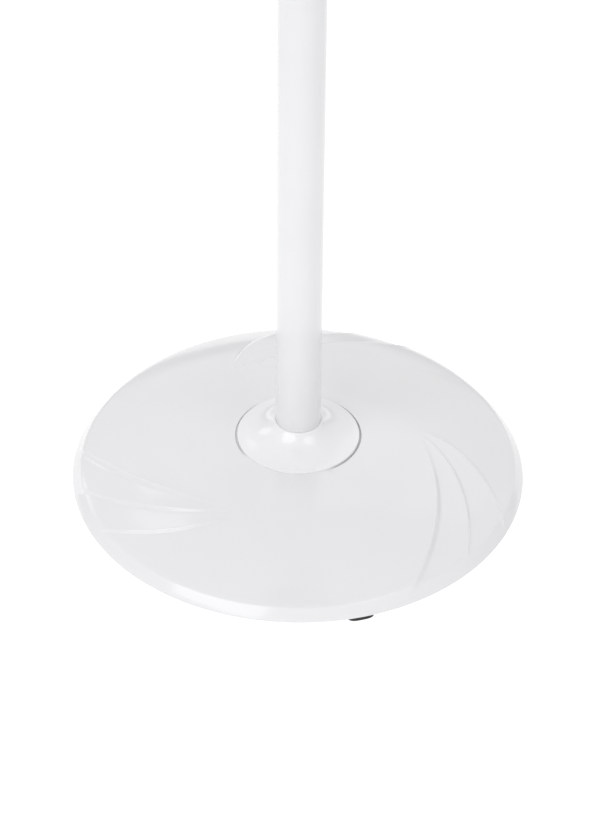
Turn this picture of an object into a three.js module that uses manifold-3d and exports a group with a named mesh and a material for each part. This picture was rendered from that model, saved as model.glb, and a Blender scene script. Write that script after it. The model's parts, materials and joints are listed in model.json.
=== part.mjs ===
// Floor-standing hood hair dryer: weighted round base, telescopic pole, tilting head with hood and visor.
// Millimetres, +Z up, the hood reaching out towards -Y. Floor at Z = 0.
// The groups are laid out about the pole's axis; the last lines move the whole dryer over its floor area.
import * as THREE from 'three';
import { mergeVertices } from 'three/addons/utils/BufferGeometryUtils.js';
import Module from 'manifold-3d';

const wasm = await Module();
wasm.setup();

// ---- driving dimensions -------------------------------------------------------------------------------

const GAP = 0.3; // clearance between pieces that touch

// base
const FOOT_HEIGHT = 12;
const FOOT_COUNT = 5;
const FOOT_RING_RADIUS = 186.5;
const FOOT_FIRST_ANGLE = -73.2;
const SKIRT_RADIUS = 201.9; // bottom edge of the cover
const CREASE_RADIUS = 193.7; // where the dome turns down into its bevelled rim
const BASE_RADIUS = 200; // how far the dome's curve would run on, SKIRT_HEIGHT above its bottom edge
const SKIRT_HEIGHT = 6.5;
const DOME_RISE = 32.9; // from there up to the collar
const COVER_WALL = 3;
const COLLAR_RADIUS = 56.2;
const COLLAR_RISE = 18.5;

// fans of ridges in the base cover: each ridge leaves the fan's tip and swings out to the rim
const FAN_TIP_RADIUS = 108;
const RIDGES_PER_FAN = 3;
const RIDGE_HEIGHTS = [3.8, 2.6, 2.4];
const RIDGE_WALLS = [4.2, 2.6, 2.6]; // plan width of each ridge's steep side
const RIDGE_LEAD = 26; // degrees over which the first ridge rises
const BOW_GROWTH = 1.43; // each ridge is straighter than the one before
const FANS = [
  { tip: 123, first: 56, step: 15.5, bow: 0.56 },
  { tip: 244.5, first: 174, step: 16.5, bow: 0.526 },
  { tip: 366, first: 297.5, step: 18.3, bow: 0.6 },
];

// pole
const LOWER_POLE_RADIUS = 20;
const LOWER_POLE_TOP = 760;
const UPPER_POLE_RADIUS = 16;
const UPPER_POLE_BOTTOM = 480;
const UPPER_POLE_TOP = 1040;
const TUBE_WALL = 2;

// head
const TILT_HEIGHT = 1075; // tilt axis above the floor
const POD_RISE = 125; // axis of the rear housing above the tilt axis
const POD_RADIUS = 90;
const POD_BACK = 88;
const POD_WALL = 3;
const HOOD_REACH = 220; // hood centre in front of the pole
const HOOD_RISE = 115; // hood centre above the tilt axis
const HOOD_RADIUS = 185;
const HOOD_WALL = 3;
const BOWL_RADIUS = 160;
const BOWL_WALL = 2.5;
const DIFFUSER_SEAT = 98; // seam between the bowl's wall and its crown, above the hood's centre
const AIR_HOLE_RADIUS = 5;
const HOOD_OPENING_DROP = 70; // opening plane below the hood's centre
const FACE_CUT_START = 60; // where the slanted face opening begins, in front of the hood's centre
const RIM_WALL = 4;
const VISOR_RADIUS = 191.5;
const VISOR_WALL = 3;
const VISOR_LOW = -45; // lower and upper edge of the visor, degrees about its pivot
const VISOR_HIGH = 26;
const SHROUD_RADIUS = 69;
const SHROUD_FRONT = -58;
const SHROUD_BACK = -4;

const FINE = 32; // segments round a large part
const ROUND = 28; // segments round the hood's spheres
const MEDIUM = 24;
const SMALL = 12;

// ---- materials ----------------------------------------------------------------------------------------

const FINISHES = {
  enamel: { color: 0xe8e8ea, roughness: 0.25, metalness: 0 },
  glossWhite: { color: 0xe9e9ec, roughness: 0.2, metalness: 0 },
  greyPlastic: { color: 0x6f7378, roughness: 0.45, metalness: 0 },
  darkPlastic: { color: 0x24262a, roughness: 0.5, metalness: 0 },
  paleBowl: { color: 0xc9ccd0, roughness: 0.35, metalness: 0 },
  smokedClear: { color: 0x59636c, roughness: 0.08, metalness: 0 },
  rubber: { color: 0x18181a, roughness: 0.85, metalness: 0 },
  steel: { color: 0xb9bcc0, roughness: 0.3, metalness: 1 },
  castIron: { color: 0x3b3c3e, roughness: 0.8, metalness: 0.6 },
  castAluminium: { color: 0xc3c5c8, roughness: 0.4, metalness: 0.9 },
  mica: { color: 0xb9a98a, roughness: 0.6, metalness: 0 },
  heatingWire: { color: 0x8d8a86, roughness: 0.45, metalness: 1 },
  amberLens: { color: 0xe08a1e, roughness: 0.15, metalness: 0 },
};

function material(finish) {
  return new THREE.MeshStandardMaterial(FINISHES[finish]);
}

// ---- geometry helpers ---------------------------------------------------------------------------------

// A closed geometry as a solid that can be joined and cut.
function solid(geometry) {
  const bare = geometry.clone();
  bare.deleteAttribute('normal');
  bare.deleteAttribute('uv');
  const merged = mergeVertices(bare, 1e-4);
  const corners = Array.from(merged.index.array);
  const triangles = [];
  for (let i = 0; i < corners.length; i += 3) {
    const [a, b, c] = corners.slice(i, i + 3);
    if (a !== b && b !== c && c !== a) triangles.push(a, b, c);
  }
  const vertProperties = Float32Array.from(merged.attributes.position.array);
  const triVerts = Uint32Array.from(triangles);
  return new wasm.Manifold(new wasm.Mesh({ numProp: 3, vertProperties, triVerts }));
}

function geometryOf(manifold) {
  const mesh = manifold.getMesh();
  const geometry = new THREE.BufferGeometry();
  geometry.setAttribute('position', new THREE.BufferAttribute(new Float32Array(mesh.vertProperties), 3));
  geometry.setIndex(new THREE.BufferAttribute(new Uint32Array(mesh.triVerts), 1));
  geometry.computeVertexNormals();
  return geometry;
}

function cut(body, ...tools) {
  return tools.reduce((result, tool) => result.subtract(tool), body);
}

function join(...bodies) {
  return bodies.reduce((result, body) => result.add(body));
}

// Turns a geometry made along Y so that it runs along the named axis.
function along(axis, geometry) {
  if (axis === 'x') return geometry.rotateZ(-Math.PI / 2);
  if (axis === 'z') return geometry.rotateX(Math.PI / 2);
  return geometry;
}

// Closed outline of [radius, height] points, turned about an axis.
function turned(axis, outline, segments = MEDIUM) {
  const points = outline.map(([radius, height]) => new THREE.Vector2(radius, height));
  if (THREE.ShapeUtils.area(points) < 0) points.reverse();
  points.push(points[0].clone());
  return solid(along(axis, new THREE.LatheGeometry(points, segments)));
}

function rod(axis, radius, from, to, segments = MEDIUM) {
  return turned(axis, [[0, from], [radius, from], [radius, to], [0, to]], segments);
}

function tube(axis, outer, inner, from, to, segments = MEDIUM) {
  return turned(axis, [[inner, from], [outer, from], [outer, to], [inner, to]], segments);
}

// Box between two corners.
function block(low, high) {
  const size = high.map((value, i) => value - low[i]);
  const middle = high.map((value, i) => (value + low[i]) / 2);
  return solid(new THREE.BoxGeometry(...size).translate(...middle));
}

function ball(radius) {
  return solid(new THREE.SphereGeometry(radius, ROUND, ROUND / 2).rotateZ(Math.PI / 2));
}

// Flat shape pushed out along +Z from the given height.
function slab(shape, height, from, curveSegments = 6) {
  const options = { depth: height, bevelEnabled: false, curveSegments };
  return solid(new THREE.ExtrudeGeometry(shape, options).translate(0, 0, from));
}

function roundedRectangle(width, depth, corner) {
  const x = width / 2;
  const y = depth / 2;
  const shape = new THREE.Shape();
  shape.moveTo(x - corner, -y);
  shape.absarc(x - corner, corner - y, corner, -Math.PI / 2, 0);
  shape.absarc(x - corner, y - corner, corner, 0, Math.PI / 2);
  shape.absarc(corner - x, y - corner, corner, Math.PI / 2, Math.PI);
  shape.absarc(corner - x, corner - y, corner, Math.PI, Math.PI * 1.5);
  return shape;
}

// Points of an arc in an outline of [radius, height] points.
function arc(centreRadius, centreHeight, radius, fromDegrees, toDegrees, steps) {
  return Array.from({ length: steps + 1 }, (_, i) => {
    const angle = THREE.MathUtils.degToRad(fromDegrees + ((toDegrees - fromDegrees) * i) / steps);
    return [centreRadius + radius * Math.cos(angle), centreHeight + radius * Math.sin(angle)];
  });
}

function addPart(parent, name, body, finish) {
  const geometry = body.isBufferGeometry ? body : geometryOf(body);
  const mesh = new THREE.Mesh(geometry, material(finish));
  mesh.name = name;
  parent.add(mesh);
  return mesh;
}

// ---- base ---------------------------------------------------------------------------------------------

const RIM_TOP = FOOT_HEIGHT + SKIRT_HEIGHT;
const COLLAR_HEIGHT = RIM_TOP + DOME_RISE;

// Height of the plain dome, without its ridges.
function domeHeight(radius) {
  const outward = (Math.max(radius, COLLAR_RADIUS) - COLLAR_RADIUS) / (BASE_RADIUS - COLLAR_RADIUS);
  return COLLAR_HEIGHT - DOME_RISE * outward ** 2;
}

// Share of the way from a fan's tip to the rim.
function fanShare(radius) {
  return (radius - FAN_TIP_RADIUS) / (BASE_RADIUS - FAN_TIP_RADIUS);
}

// Direction, in degrees, where a ridge's crest lies at the given radius.
function crestAngle(fan, ridge, radius) {
  const span = fan.tip - fan.first - ridge * fan.step;
  const share = THREE.MathUtils.clamp(fanShare(radius), 0.03, 1);
  return fan.tip - span * share ** (fan.bow * BOW_GROWTH ** ridge);
}

// Height of a ridge's crest above the dome: nothing at the tip, full in the middle, less at the rim.
function crestHeight(ridge, radius) {
  const share = THREE.MathUtils.clamp(fanShare(radius), 0, 1);
  const rise = THREE.MathUtils.smoothstep(share, 0, 0.45);
  return RIDGE_HEIGHTS[ridge] * rise * (1 - 0.45 * share * share);
}

// Angle that a ridge's steep side takes, in degrees, allowing for the ridge's slant.
function wallAngle(fan, ridge, radius) {
  const slope = THREE.MathUtils.degToRad(crestAngle(fan, ridge, radius + 1) - crestAngle(fan, ridge, radius));
  const slant = Math.hypot(1, radius * slope);
  return Math.min(THREE.MathUtils.radToDeg(RIDGE_WALLS[ridge] / radius) * slant, 0.4 * fan.step);
}

// Mesh columns of one fan at one radius, as [angle in degrees, height above the dome].
function fanColumns(fan, radius, nextStart) {
  const columns = [];
  let from = crestAngle(fan, 0, radius) - RIDGE_LEAD;
  for (let ridge = 0; ridge < RIDGES_PER_FAN; ridge += 1) {
    const crest = crestAngle(fan, ridge, radius);
    const height = crestHeight(ridge, radius);
    const steps = ridge === 0 ? 4 : 2;
    for (let i = 0; i < steps; i += 1) {
      const share = i / steps;
      columns.push([from + (crest - from) * share, height * share ** 1.5]);
    }
    columns.push([crest, height]);
    const available = ridge + 1 < RIDGES_PER_FAN ? crestAngle(fan, ridge + 1, radius) - crest : fan.step;
    from = crest + Math.min(wallAngle(fan, ridge, radius), 0.5 * available);
  }
  const plain = 5;
  for (let i = 0; i < plain; i += 1) {
    columns.push([from + ((nextStart(radius) - from) * i) / plain, 0]);
  }
  return columns;
}

function coverColumns(radius) {
  return FANS.flatMap((fan, i) => {
    const next = FANS[(i + 1) % FANS.length];
    const turn = i + 1 < FANS.length ? 0 : 360;
    return fanColumns(fan, radius, (r) => crestAngle(next, 0, r) - RIDGE_LEAD + turn);
  });
}

// Dome with three fans of ridges and a bevelled rim, hollow underneath.
function baseCover() {
  const innerEdge = 26;
  const footWidth = 4; // width of the ring that the rim ends in
  const relief = [106, 120, 136, 156, 176, CREASE_RADIUS];
  const top = [innerEdge, COLLAR_RADIUS, 80, ...relief].map((r) => [r, domeHeight(r)]);
  const under = [190, 150, 100, innerEdge].map((r) => [r, domeHeight(r) - COVER_WALL]);
  const outline = [
    ...top,
    [SKIRT_RADIUS, FOOT_HEIGHT],
    [SKIRT_RADIUS - footWidth, FOOT_HEIGHT],
    ...under,
  ].reverse();
  const points = [...outline, outline[0]].map(([r, h]) => new THREE.Vector2(r, h));
  const columnsAt = (radius) => coverColumns(THREE.MathUtils.clamp(radius, relief[0], BASE_RADIUS));
  const columnCount = columnsAt(BASE_RADIUS).length;
  const geometry = new THREE.LatheGeometry(points, columnCount);
  const position = geometry.attributes.position;
  points.forEach((point, row) => {
    const columns = columnsAt(point.x);
    const onDome = point.y > domeHeight(point.x) - COVER_WALL / 2;
    for (let column = 0; column <= columnCount; column += 1) {
      const [degrees, height] = columns[column % columnCount];
      const angle = THREE.MathUtils.degToRad(degrees);
      const vertex = column * points.length + row;
      const lift = onDome ? height : 0;
      position.setXYZ(vertex, point.x * Math.cos(angle), point.x * Math.sin(angle), point.y + lift);
    }
  });
  return solid(geometry);
}

function baseWeight() {
  const outline = [
    [6.5, 15],
    [188, 15],
    [188, 19.5],
    [160, 28],
    [6.5, 28],
  ];
  return turned('z', outline, FINE);
}

function basePlate() {
  return tube('z', 193, 6.5, FOOT_HEIGHT + GAP, 14.6, FINE);
}

// Oblong rubber foot with a bevelled lower edge.
function foot() {
  const taper = 1.5;
  const top = roundedRectangle(24, 15, 5);
  const options = {
    depth: FOOT_HEIGHT - 2 * taper,
    bevelThickness: taper,
    bevelSize: taper,
    bevelOffset: -taper,
    bevelSegments: 1,
    curveSegments: 2,
  };
  const cushion = solid(new THREE.ExtrudeGeometry(top, options).translate(0, 0, taper));
  const neck = slab(top, FOOT_HEIGHT / 2, FOOT_HEIGHT / 2, 2);
  return join(cushion, neck);
}

function poleSocket() {
  const outline = [
    [6.5, 28 + GAP],
    [48, 28 + GAP],
    [48, 32.3],
    [17.6, 32.3],
    [17.6, 118],
    [15.6, 120],
    [6.5, 120],
  ];
  return turned('z', outline, MEDIUM);
}

function baseBolt() {
  const head = solid(along('z', new THREE.CylinderGeometry(10, 10, 7, 6))).translate([0, 0, 8.5]);
  return join(head, rod('z', 6, 8, 70, SMALL));
}

// Bell-shaped collar: a thin lip on the dome, a hollow sweep up to a rounded shoulder round the pole.
function baseCollar() {
  const lip = COLLAR_HEIGHT + 1.3;
  const top = COLLAR_HEIGHT + COLLAR_RISE;
  const bore = LOWER_POLE_RADIUS + 0.6;
  const sweep = new THREE.CubicBezierCurve(
    new THREE.Vector2(COLLAR_RADIUS - 0.6, lip),
    new THREE.Vector2(37, lip + 1),
    new THREE.Vector2(33, top),
    new THREE.Vector2(bore + 1.6, top),
  );
  const outline = [
    [bore, COLLAR_HEIGHT + GAP],
    [COLLAR_RADIUS, COLLAR_HEIGHT + GAP],
    [COLLAR_RADIUS, lip - 0.5],
    ...sweep.getPoints(7).map((point) => [point.x, point.y]),
    [bore, top - 0.8],
  ];
  return turned('z', outline, FINE);
}

function buildBase(stand) {
  addPart(stand, 'base_cover', baseCover(), 'enamel');
  addPart(stand, 'base_weight', baseWeight(), 'castIron');
  addPart(stand, 'base_plate', basePlate(), 'steel');
  addPart(stand, 'pole_socket', poleSocket(), 'steel');
  addPart(stand, 'base_bolt', baseBolt(), 'steel');
  addPart(stand, 'base_collar', baseCollar(), 'glossWhite');
  for (let i = 0; i < FOOT_COUNT; i += 1) {
    const angle = THREE.MathUtils.degToRad(FOOT_FIRST_ANGLE + (i * 360) / FOOT_COUNT);
    const mesh = addPart(stand, `foot_${i + 1}`, foot(), 'rubber');
    mesh.position.set(FOOT_RING_RADIUS * Math.cos(angle), FOOT_RING_RADIUS * Math.sin(angle), 0);
    mesh.rotation.z = angle + Math.PI / 2;
  }
}

// ---- pole and height clamp ----------------------------------------------------------------------------

const SLEEVE_LOW = LOWER_POLE_TOP - 38;
const SLEEVE_HIGH = LOWER_POLE_TOP + 34;
const CLAMP_HEIGHT = LOWER_POLE_TOP + 14;

// Stepped sleeve: wide bore on the lower pole, close bore on the upper one, threaded boss for the knob.
function clampSleeve() {
  const outline = [
    [LOWER_POLE_RADIUS + GAP, SLEEVE_LOW],
    [24.5, SLEEVE_LOW],
    [27, SLEEVE_LOW + 5],
    [27, SLEEVE_HIGH - 12],
    [22, SLEEVE_HIGH],
    [UPPER_POLE_RADIUS + GAP, SLEEVE_HIGH],
    [UPPER_POLE_RADIUS + GAP, LOWER_POLE_TOP + GAP],
    [LOWER_POLE_RADIUS + GAP, LOWER_POLE_TOP + GAP],
  ];
  const sleeve = turned('z', outline, MEDIUM);
  const boss = rod('x', 10, 20, 34, SMALL).translate([0, 0, CLAMP_HEIGHT]);
  const bore = rod('z', UPPER_POLE_RADIUS + GAP, SLEEVE_LOW, SLEEVE_HIGH + 1, MEDIUM);
  const thread = rod('x', 4 + GAP, 0, 40, SMALL).translate([0, 0, CLAMP_HEIGHT]);
  const seat = rod('z', LOWER_POLE_RADIUS + GAP, SLEEVE_LOW - 1, LOWER_POLE_TOP + GAP, MEDIUM);
  return cut(join(sleeve, boss), bore, seat, thread);
}

// Hand knob with lobes, turning about X, with its stud pointing at -X.
function lobedKnob(radius, from, to, lobes) {
  const outline = [
    [0, from],
    [radius - 2, from],
    [radius, from + 2],
    [radius, to - 3],
    [radius - 4, to],
    [0, to],
  ];
  const blank = turned('x', outline);
  const scallops = Array.from({ length: lobes }, (_, i) => {
    const angle = (i * 2 * Math.PI) / lobes;
    const reach = radius + 3.5;
    return rod('x', 6, from - 1, to + 1, 8).translate([0, reach * Math.cos(angle), reach * Math.sin(angle)]);
  });
  return cut(blank, ...scallops);
}

function clampKnob() {
  const stud = rod('x', 4, UPPER_POLE_RADIUS + 0.6, 40, SMALL);
  return join(lobedKnob(17, 34 + GAP, 56, 7), stud);
}

function upperPole() {
  const inner = UPPER_POLE_RADIUS - TUBE_WALL;
  return tube('z', UPPER_POLE_RADIUS, inner, UPPER_POLE_BOTTOM, UPPER_POLE_TOP, MEDIUM);
}

// Nylon bush on the upper pole's lower end: a collar below the tube and a spigot up inside it.
function guideBush() {
  const outer = LOWER_POLE_RADIUS - TUBE_WALL - GAP;
  const spigot = UPPER_POLE_RADIUS - TUBE_WALL - GAP;
  const outline = [
    [9, UPPER_POLE_BOTTOM - 30],
    [outer, UPPER_POLE_BOTTOM - 30],
    [outer, UPPER_POLE_BOTTOM - GAP],
    [spigot, UPPER_POLE_BOTTOM - GAP],
    [spigot, UPPER_POLE_BOTTOM + 25],
    [9, UPPER_POLE_BOTTOM + 25],
  ];
  return turned('z', outline, MEDIUM);
}

function buildPole(stand, mast) {
  const innerLower = LOWER_POLE_RADIUS - TUBE_WALL;
  addPart(stand, 'lower_pole', tube('z', LOWER_POLE_RADIUS, innerLower, 32.6, LOWER_POLE_TOP), 'enamel');
  addPart(stand, 'clamp_sleeve', clampSleeve(), 'greyPlastic');
  addPart(stand, 'clamp_knob', clampKnob(), 'darkPlastic').position.z = CLAMP_HEIGHT;
  addPart(mast, 'upper_pole', upperPole(), 'steel');
  addPart(mast, 'guide_bush', guideBush(), 'darkPlastic');
}

// ---- head bracket, about the tilt axis ----------------------------------------------------------------

const EAR_INSIDE = 21.5;
const EAR_OUTSIDE = 30.5;
const HUB_TOP = UPPER_POLE_TOP - TILT_HEIGHT + GAP;

// Round-topped plate in the Y-Z plane, from a bottom height up to a rounded eye about the axis.
function eyePlate(fromX, toX, halfWidth, bottom) {
  const shape = new THREE.Shape();
  shape.moveTo(-halfWidth, bottom);
  shape.lineTo(halfWidth, bottom);
  shape.lineTo(halfWidth, 0);
  shape.absarc(0, 0, halfWidth, 0, Math.PI);
  const options = { depth: toX - fromX, bevelEnabled: false, curveSegments: 9 };
  const geometry = new THREE.ExtrudeGeometry(shape, options);
  // shape x, y become Y, Z and the depth becomes X
  geometry.applyMatrix4(new THREE.Matrix4().set(0, 0, 1, fromX, 1, 0, 0, 0, 0, 1, 0, 0, 0, 0, 0, 1));
  return solid(geometry);
}

// Fork on top of the pole: a hub with a blind bore, a bridge and two ears for the tilt pin.
function yoke() {
  const bottom = HUB_TOP - 42;
  const bridge = HUB_TOP + 7;
  const hub = turned('z', [[0, bottom], [20, bottom], [22, bottom + 3], [24, bridge - 4], [0, bridge - 4]]);
  const crossbar = slab(roundedRectangle(2 * EAR_OUTSIDE, 36, 6), 8, bridge - 7);
  const ears = [
    eyePlate(EAR_INSIDE, EAR_OUTSIDE, 17, bridge - 3),
    eyePlate(-EAR_OUTSIDE, -EAR_INSIDE, 17, bridge - 3),
  ];
  const bore = rod('z', UPPER_POLE_RADIUS + GAP, bottom - 1, HUB_TOP, MEDIUM);
  const pinHole = rod('x', 6 + GAP, -40, 40, SMALL);
  const screwHole = rod('y', 3 + GAP, 0, 40, SMALL).translate([0, 0, bottom + 18]);
  return cut(join(hub, crossbar, ...ears), bore, pinHole, screwHole);
}

function swivelScrew() {
  const height = HUB_TOP - 42 + 18;
  const screw = join(rod('y', 3, UPPER_POLE_RADIUS + 0.5, 26, SMALL), rod('y', 5.5, 24, 29, SMALL));
  return screw.translate([0, 0, height]);
}

// Headed steel pin through both ears; its far end carries the tilt knob.
function tiltPin() {
  const shaft = rod('x', 6, -32, 44, SMALL);
  const seat = -EAR_OUTSIDE - GAP;
  const head = turned('x', [[0, -37], [8, -37], [10, -35], [10, seat], [0, seat]], SMALL);
  return join(shaft, head);
}

function tiltKnob() {
  const bore = rod('x', 6 + GAP, 20, 46, SMALL);
  return cut(lobedKnob(19, EAR_OUTSIDE + 0.8, 54, 8), bore);
}

// Block under the rear housing, seated on its round wall, with an eye for the tilt pin.
function tiltLug() {
  const eye = eyePlate(-19, 19, 16, 0).rotate([180, 0, 0]);
  const riser = block([-19, -24, 8], [19, 24, POD_RISE - 70]);
  const neck = block([-19, -16, -1], [19, 16, 10]);
  const housing = rod('y', POD_RADIUS + GAP, -60, 60, FINE).translate([0, 0, POD_RISE]);
  const pinHole = rod('x', 6 + GAP, -40, 40, SMALL);
  return cut(join(eye, neck, riser), housing, pinHole);
}

function buildBracket(bracket, head) {
  addPart(bracket, 'yoke', yoke(), 'castAluminium');
  addPart(bracket, 'swivel_screw', swivelScrew(), 'steel');
  addPart(bracket, 'tilt_pin', tiltPin(), 'steel');
  addPart(bracket, 'tilt_knob', tiltKnob(), 'darkPlastic');
  addPart(head, 'tilt_lug', tiltLug(), 'castAluminium');
}

// ---- rear housing, about its own axis along Y ---------------------------------------------------------

const PANEL_CENTRE_Y = 34;
const PANEL_FACE = 101; // distance of its face from the housing's axis
const PANEL_HEIGHT = 96;
const PANEL_WIDTH = 88;
const PANEL_DEPTH = 45;
const PANEL_WALL = 3;
const KNOB_ROW_Z = 22;
const SWITCH_ROW_Z = -24;
const CONTROL_FRONT_Y = 15;
const CONTROL_BACK_Y = 53;
const GRILLE_Y = POD_BACK - 8;
const GRILLE_FLANGE_Y = POD_BACK - 1.7;
const GRILLE_SCREWS = 4;
const GRILLE_SCREW_RING = 70.6;
const GLAND_Y = 62;

// The hood's outer sphere, seen from the rear housing's axis, grown by a clearance.
function hoodBall(growth) {
  return ball(HOOD_RADIUS + growth).translate([0, -HOOD_REACH, HOOD_RISE - POD_RISE]);
}

function rearHousing() {
  const inner = POD_RADIUS - POD_WALL;
  const outline = [
    [POD_RADIUS, -75],
    [POD_RADIUS, 62],
    ...arc(POD_RADIUS - 20, 66, 20, 0, 75, 4),
    [68, POD_BACK - 2],
    [68, GRILLE_Y - 3],
    [72, GRILLE_Y - 4],
    ...arc(inner - 18, 60, 18, 70, 0, 3),
    [inner, -75],
  ];
  const shell = turned('y', outline, FINE);
  const window = block([55, -4, -42], [95, 72, 42]);
  const glandHole = rod('z', 6.5 + GAP, -POD_RADIUS - 8, -POD_RADIUS + 12, SMALL).translate([0, GLAND_Y, 0]);
  return cut(shell, hoodBall(GAP), window, glandHole, ...grilleScrewHoles());
}

// Round intake grille: a recessed disc with radial slots, and a flange screwed to the housing's back.
function intakeGrille() {
  const outline = [
    [0, GRILLE_Y],
    [67.5, GRILLE_Y],
    [67.5, GRILLE_FLANGE_Y],
    [75, GRILLE_FLANGE_Y],
    [73, GRILLE_FLANGE_Y + 2],
    [64, GRILLE_FLANGE_Y + 2],
    [60, GRILLE_Y + 4],
    [0, GRILLE_Y + 4],
  ];
  const slots = 20;
  const cutters = Array.from({ length: slots }, (_, i) => {
    const slot = block([18, GRILLE_Y - 1, -2.4], [57, GRILLE_Y + 7, 2.4]);
    return slot.rotate([0, (i * 360) / slots, 0]);
  });
  return cut(turned('y', outline, FINE), ...cutters, ...grilleScrewHoles());
}

function grilleScrewPlaces() {
  return Array.from({ length: GRILLE_SCREWS }, (_, i) => {
    const angle = ((i + 0.5) * 2 * Math.PI) / GRILLE_SCREWS;
    return [GRILLE_SCREW_RING * Math.cos(angle), 0, GRILLE_SCREW_RING * Math.sin(angle)];
  });
}

function grilleScrewHoles() {
  return grilleScrewPlaces().map((place) => rod('y', 1.5 + GAP, 76, 95, 8).translate(place));
}

// Screw with a low domed head.
function grilleScrew() {
  const seat = GRILLE_FLANGE_Y + 2 + GAP;
  const outline = [
    [0, 78],
    [1.5, 78],
    [1.5, seat],
    [3.2, seat],
    [2.2, seat + 1.4],
    [0, seat + 1.6],
  ];
  return turned('y', outline, 8);
}

function lintFilter() {
  return rod('y', 66, GRILLE_Y - 2.8, GRILLE_Y - GAP - 0.2, FINE);
}

function motor() {
  const outline = [
    [0, 8],
    [26, 8],
    [31, 12],
    [31, 50],
    [26, 56],
    [0, 56],
  ];
  const shaftHole = rod('y', 4.5, 0, 40, SMALL);
  return cut(turned('y', outline, MEDIUM), shaftHole);
}

// Ring and three arms that hold the motor inside the housing.
function motorMount() {
  const ring = tube('y', 38, 31 + GAP, 29, 39, MEDIUM);
  const arm = block([36, 29, -5], [POD_RADIUS - POD_WALL - 0.8, 39, 5]);
  const arms = [90, 210, 330].map((angle) => arm.rotate([0, angle, 0]));
  return join(ring, ...arms);
}

function motorShaft() {
  return rod('y', 4, -32, 36, SMALL);
}

// Axial fan: a hub with twisted blades.
function impeller() {
  const blades = 7;
  const hub = turned('y', [[4 + GAP, -30], [12, -30], [16, -26], [16, -8], [4 + GAP, -8]], SMALL);
  const blade = block([14, -1.2, -11], [62, 1.2, 11]).rotate([48, 0, 0]).translate([0, -19, 0]);
  const fan = Array.from({ length: blades }, (_, i) => blade.rotate([0, (i * 360) / blades, 0]));
  const bore = rod('y', 4 + GAP, -40, 0, SMALL);
  const envelope = rod('y', 62, -29, -9, FINE);
  return cut(join(hub, join(...fan).intersect(envelope)), bore);
}

function fanShroud() {
  return tube('y', SHROUD_RADIUS, SHROUD_RADIUS - 3, SHROUD_FRONT, SHROUD_BACK, FINE);
}

const COIL_RADII = [48, 32];
const COIL_Y = -45;

function coilRing(radius, wire) {
  const ring = new THREE.TorusGeometry(radius, wire, 8, FINE / 2).rotateX(Math.PI / 2);
  return solid(ring).translate([0, COIL_Y, 0]);
}

// Two crossed mica boards, notched where the heating coils pass.
function heaterFrame() {
  const board = block([-62, COIL_Y - 9, -1], [62, COIL_Y + 9, 1]);
  const cross = join(board, board.rotate([0, 90, 0]));
  return cut(cross, ...COIL_RADII.map((radius) => coilRing(radius, 3.2 + GAP)));
}

function thermalCutOut() {
  const button = rod('z', 8, SHROUD_RADIUS + GAP, SHROUD_RADIUS + 6, SMALL);
  return button.translate([0, -30, 0]);
}

// Box-like fascia with a flat face; it is open behind and saddle-shaped where it sits on the round housing.
function controlPanel() {
  const outline = slab(roundedRectangle(PANEL_HEIGHT, PANEL_WIDTH, 10), PANEL_DEPTH, 0, 5);
  // turn the outline's face to look along X
  const fascia = outline.rotate([0, 90, 0]).translate([PANEL_FACE - PANEL_DEPTH, PANEL_CENTRE_Y, 0]);
  const housing = rod('y', POD_RADIUS + GAP, -40, 120, FINE);
  const pocket = block([60, PANEL_CENTRE_Y - 36, -40], [PANEL_FACE - PANEL_WALL, PANEL_CENTRE_Y + 36, 40]);
  const spindles = [CONTROL_FRONT_Y, CONTROL_BACK_Y].map((y) =>
    rod('x', 3.6, 80, 120, SMALL).translate([0, y, KNOB_ROW_Z]),
  );
  const lamp = rod('x', 5 + GAP, 80, 120, SMALL).translate([0, CONTROL_BACK_Y, SWITCH_ROW_Z]);
  const rocker = block(
    [80, CONTROL_FRONT_Y - 7, SWITCH_ROW_Z - 13],
    [120, CONTROL_FRONT_Y + 7, SWITCH_ROW_Z + 13],
  );
  return cut(fascia, housing, pocket, ...spindles, lamp, rocker);
}

// Switch unit behind a knob: a round body inside the housing and a spindle out through the panel.
function switchUnit() {
  return join(rod('x', 13, 62, 82, MEDIUM), rod('x', 3, 80, 112, SMALL));
}

// Knob turned about X, with a blind bore for the spindle and a raised pointer bar.
function dialKnob(radius, depth) {
  const back = PANEL_FACE + 0.6;
  const front = back + depth;
  const outline = [
    [0, back],
    [radius, back],
    [radius - 1.5, front - 2],
    [radius - 3.5, front],
    [0, front],
  ];
  const body = turned('x', outline);
  const bar = block([front - 1, -2, -radius + 5], [front + 2.5, 2, radius - 4]);
  return cut(join(body, bar), rod('x', 3 + GAP, back - 1, 113, SMALL));
}

// Rocker with two faces that meet in a shallow valley, pivoting about Y.
function rockerSwitch() {
  const shape = new THREE.Shape();
  shape.moveTo(-8, -11);
  shape.lineTo(3.5, -11);
  shape.lineTo(1.2, 0);
  shape.lineTo(3.5, 11);
  shape.lineTo(-8, 11);
  shape.lineTo(-10, 0);
  const options = { depth: 12, bevelEnabled: false };
  const geometry = new THREE.ExtrudeGeometry(shape, options).translate(0, 0, -6).rotateX(Math.PI / 2);
  return solid(geometry);
}

function rockerBody() {
  const y = CONTROL_FRONT_Y;
  const z = SWITCH_ROW_Z;
  return block([66, y - 10, z - 15], [PANEL_FACE - 14.5, y + 10, z + 15]);
}

function pilotLamp() {
  const outline = [
    [0, 84],
    [5, 84],
    [5, PANEL_FACE + 1],
    [3.5, PANEL_FACE + 3],
    [0, PANEL_FACE + 3.6],
  ];
  const lens = turned('x', outline, SMALL);
  return lens.translate([0, CONTROL_BACK_Y, SWITCH_ROW_Z]);
}

function terminalBlock() {
  return block([-22, 58, -78], [-4, 70, -64]);
}

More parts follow.
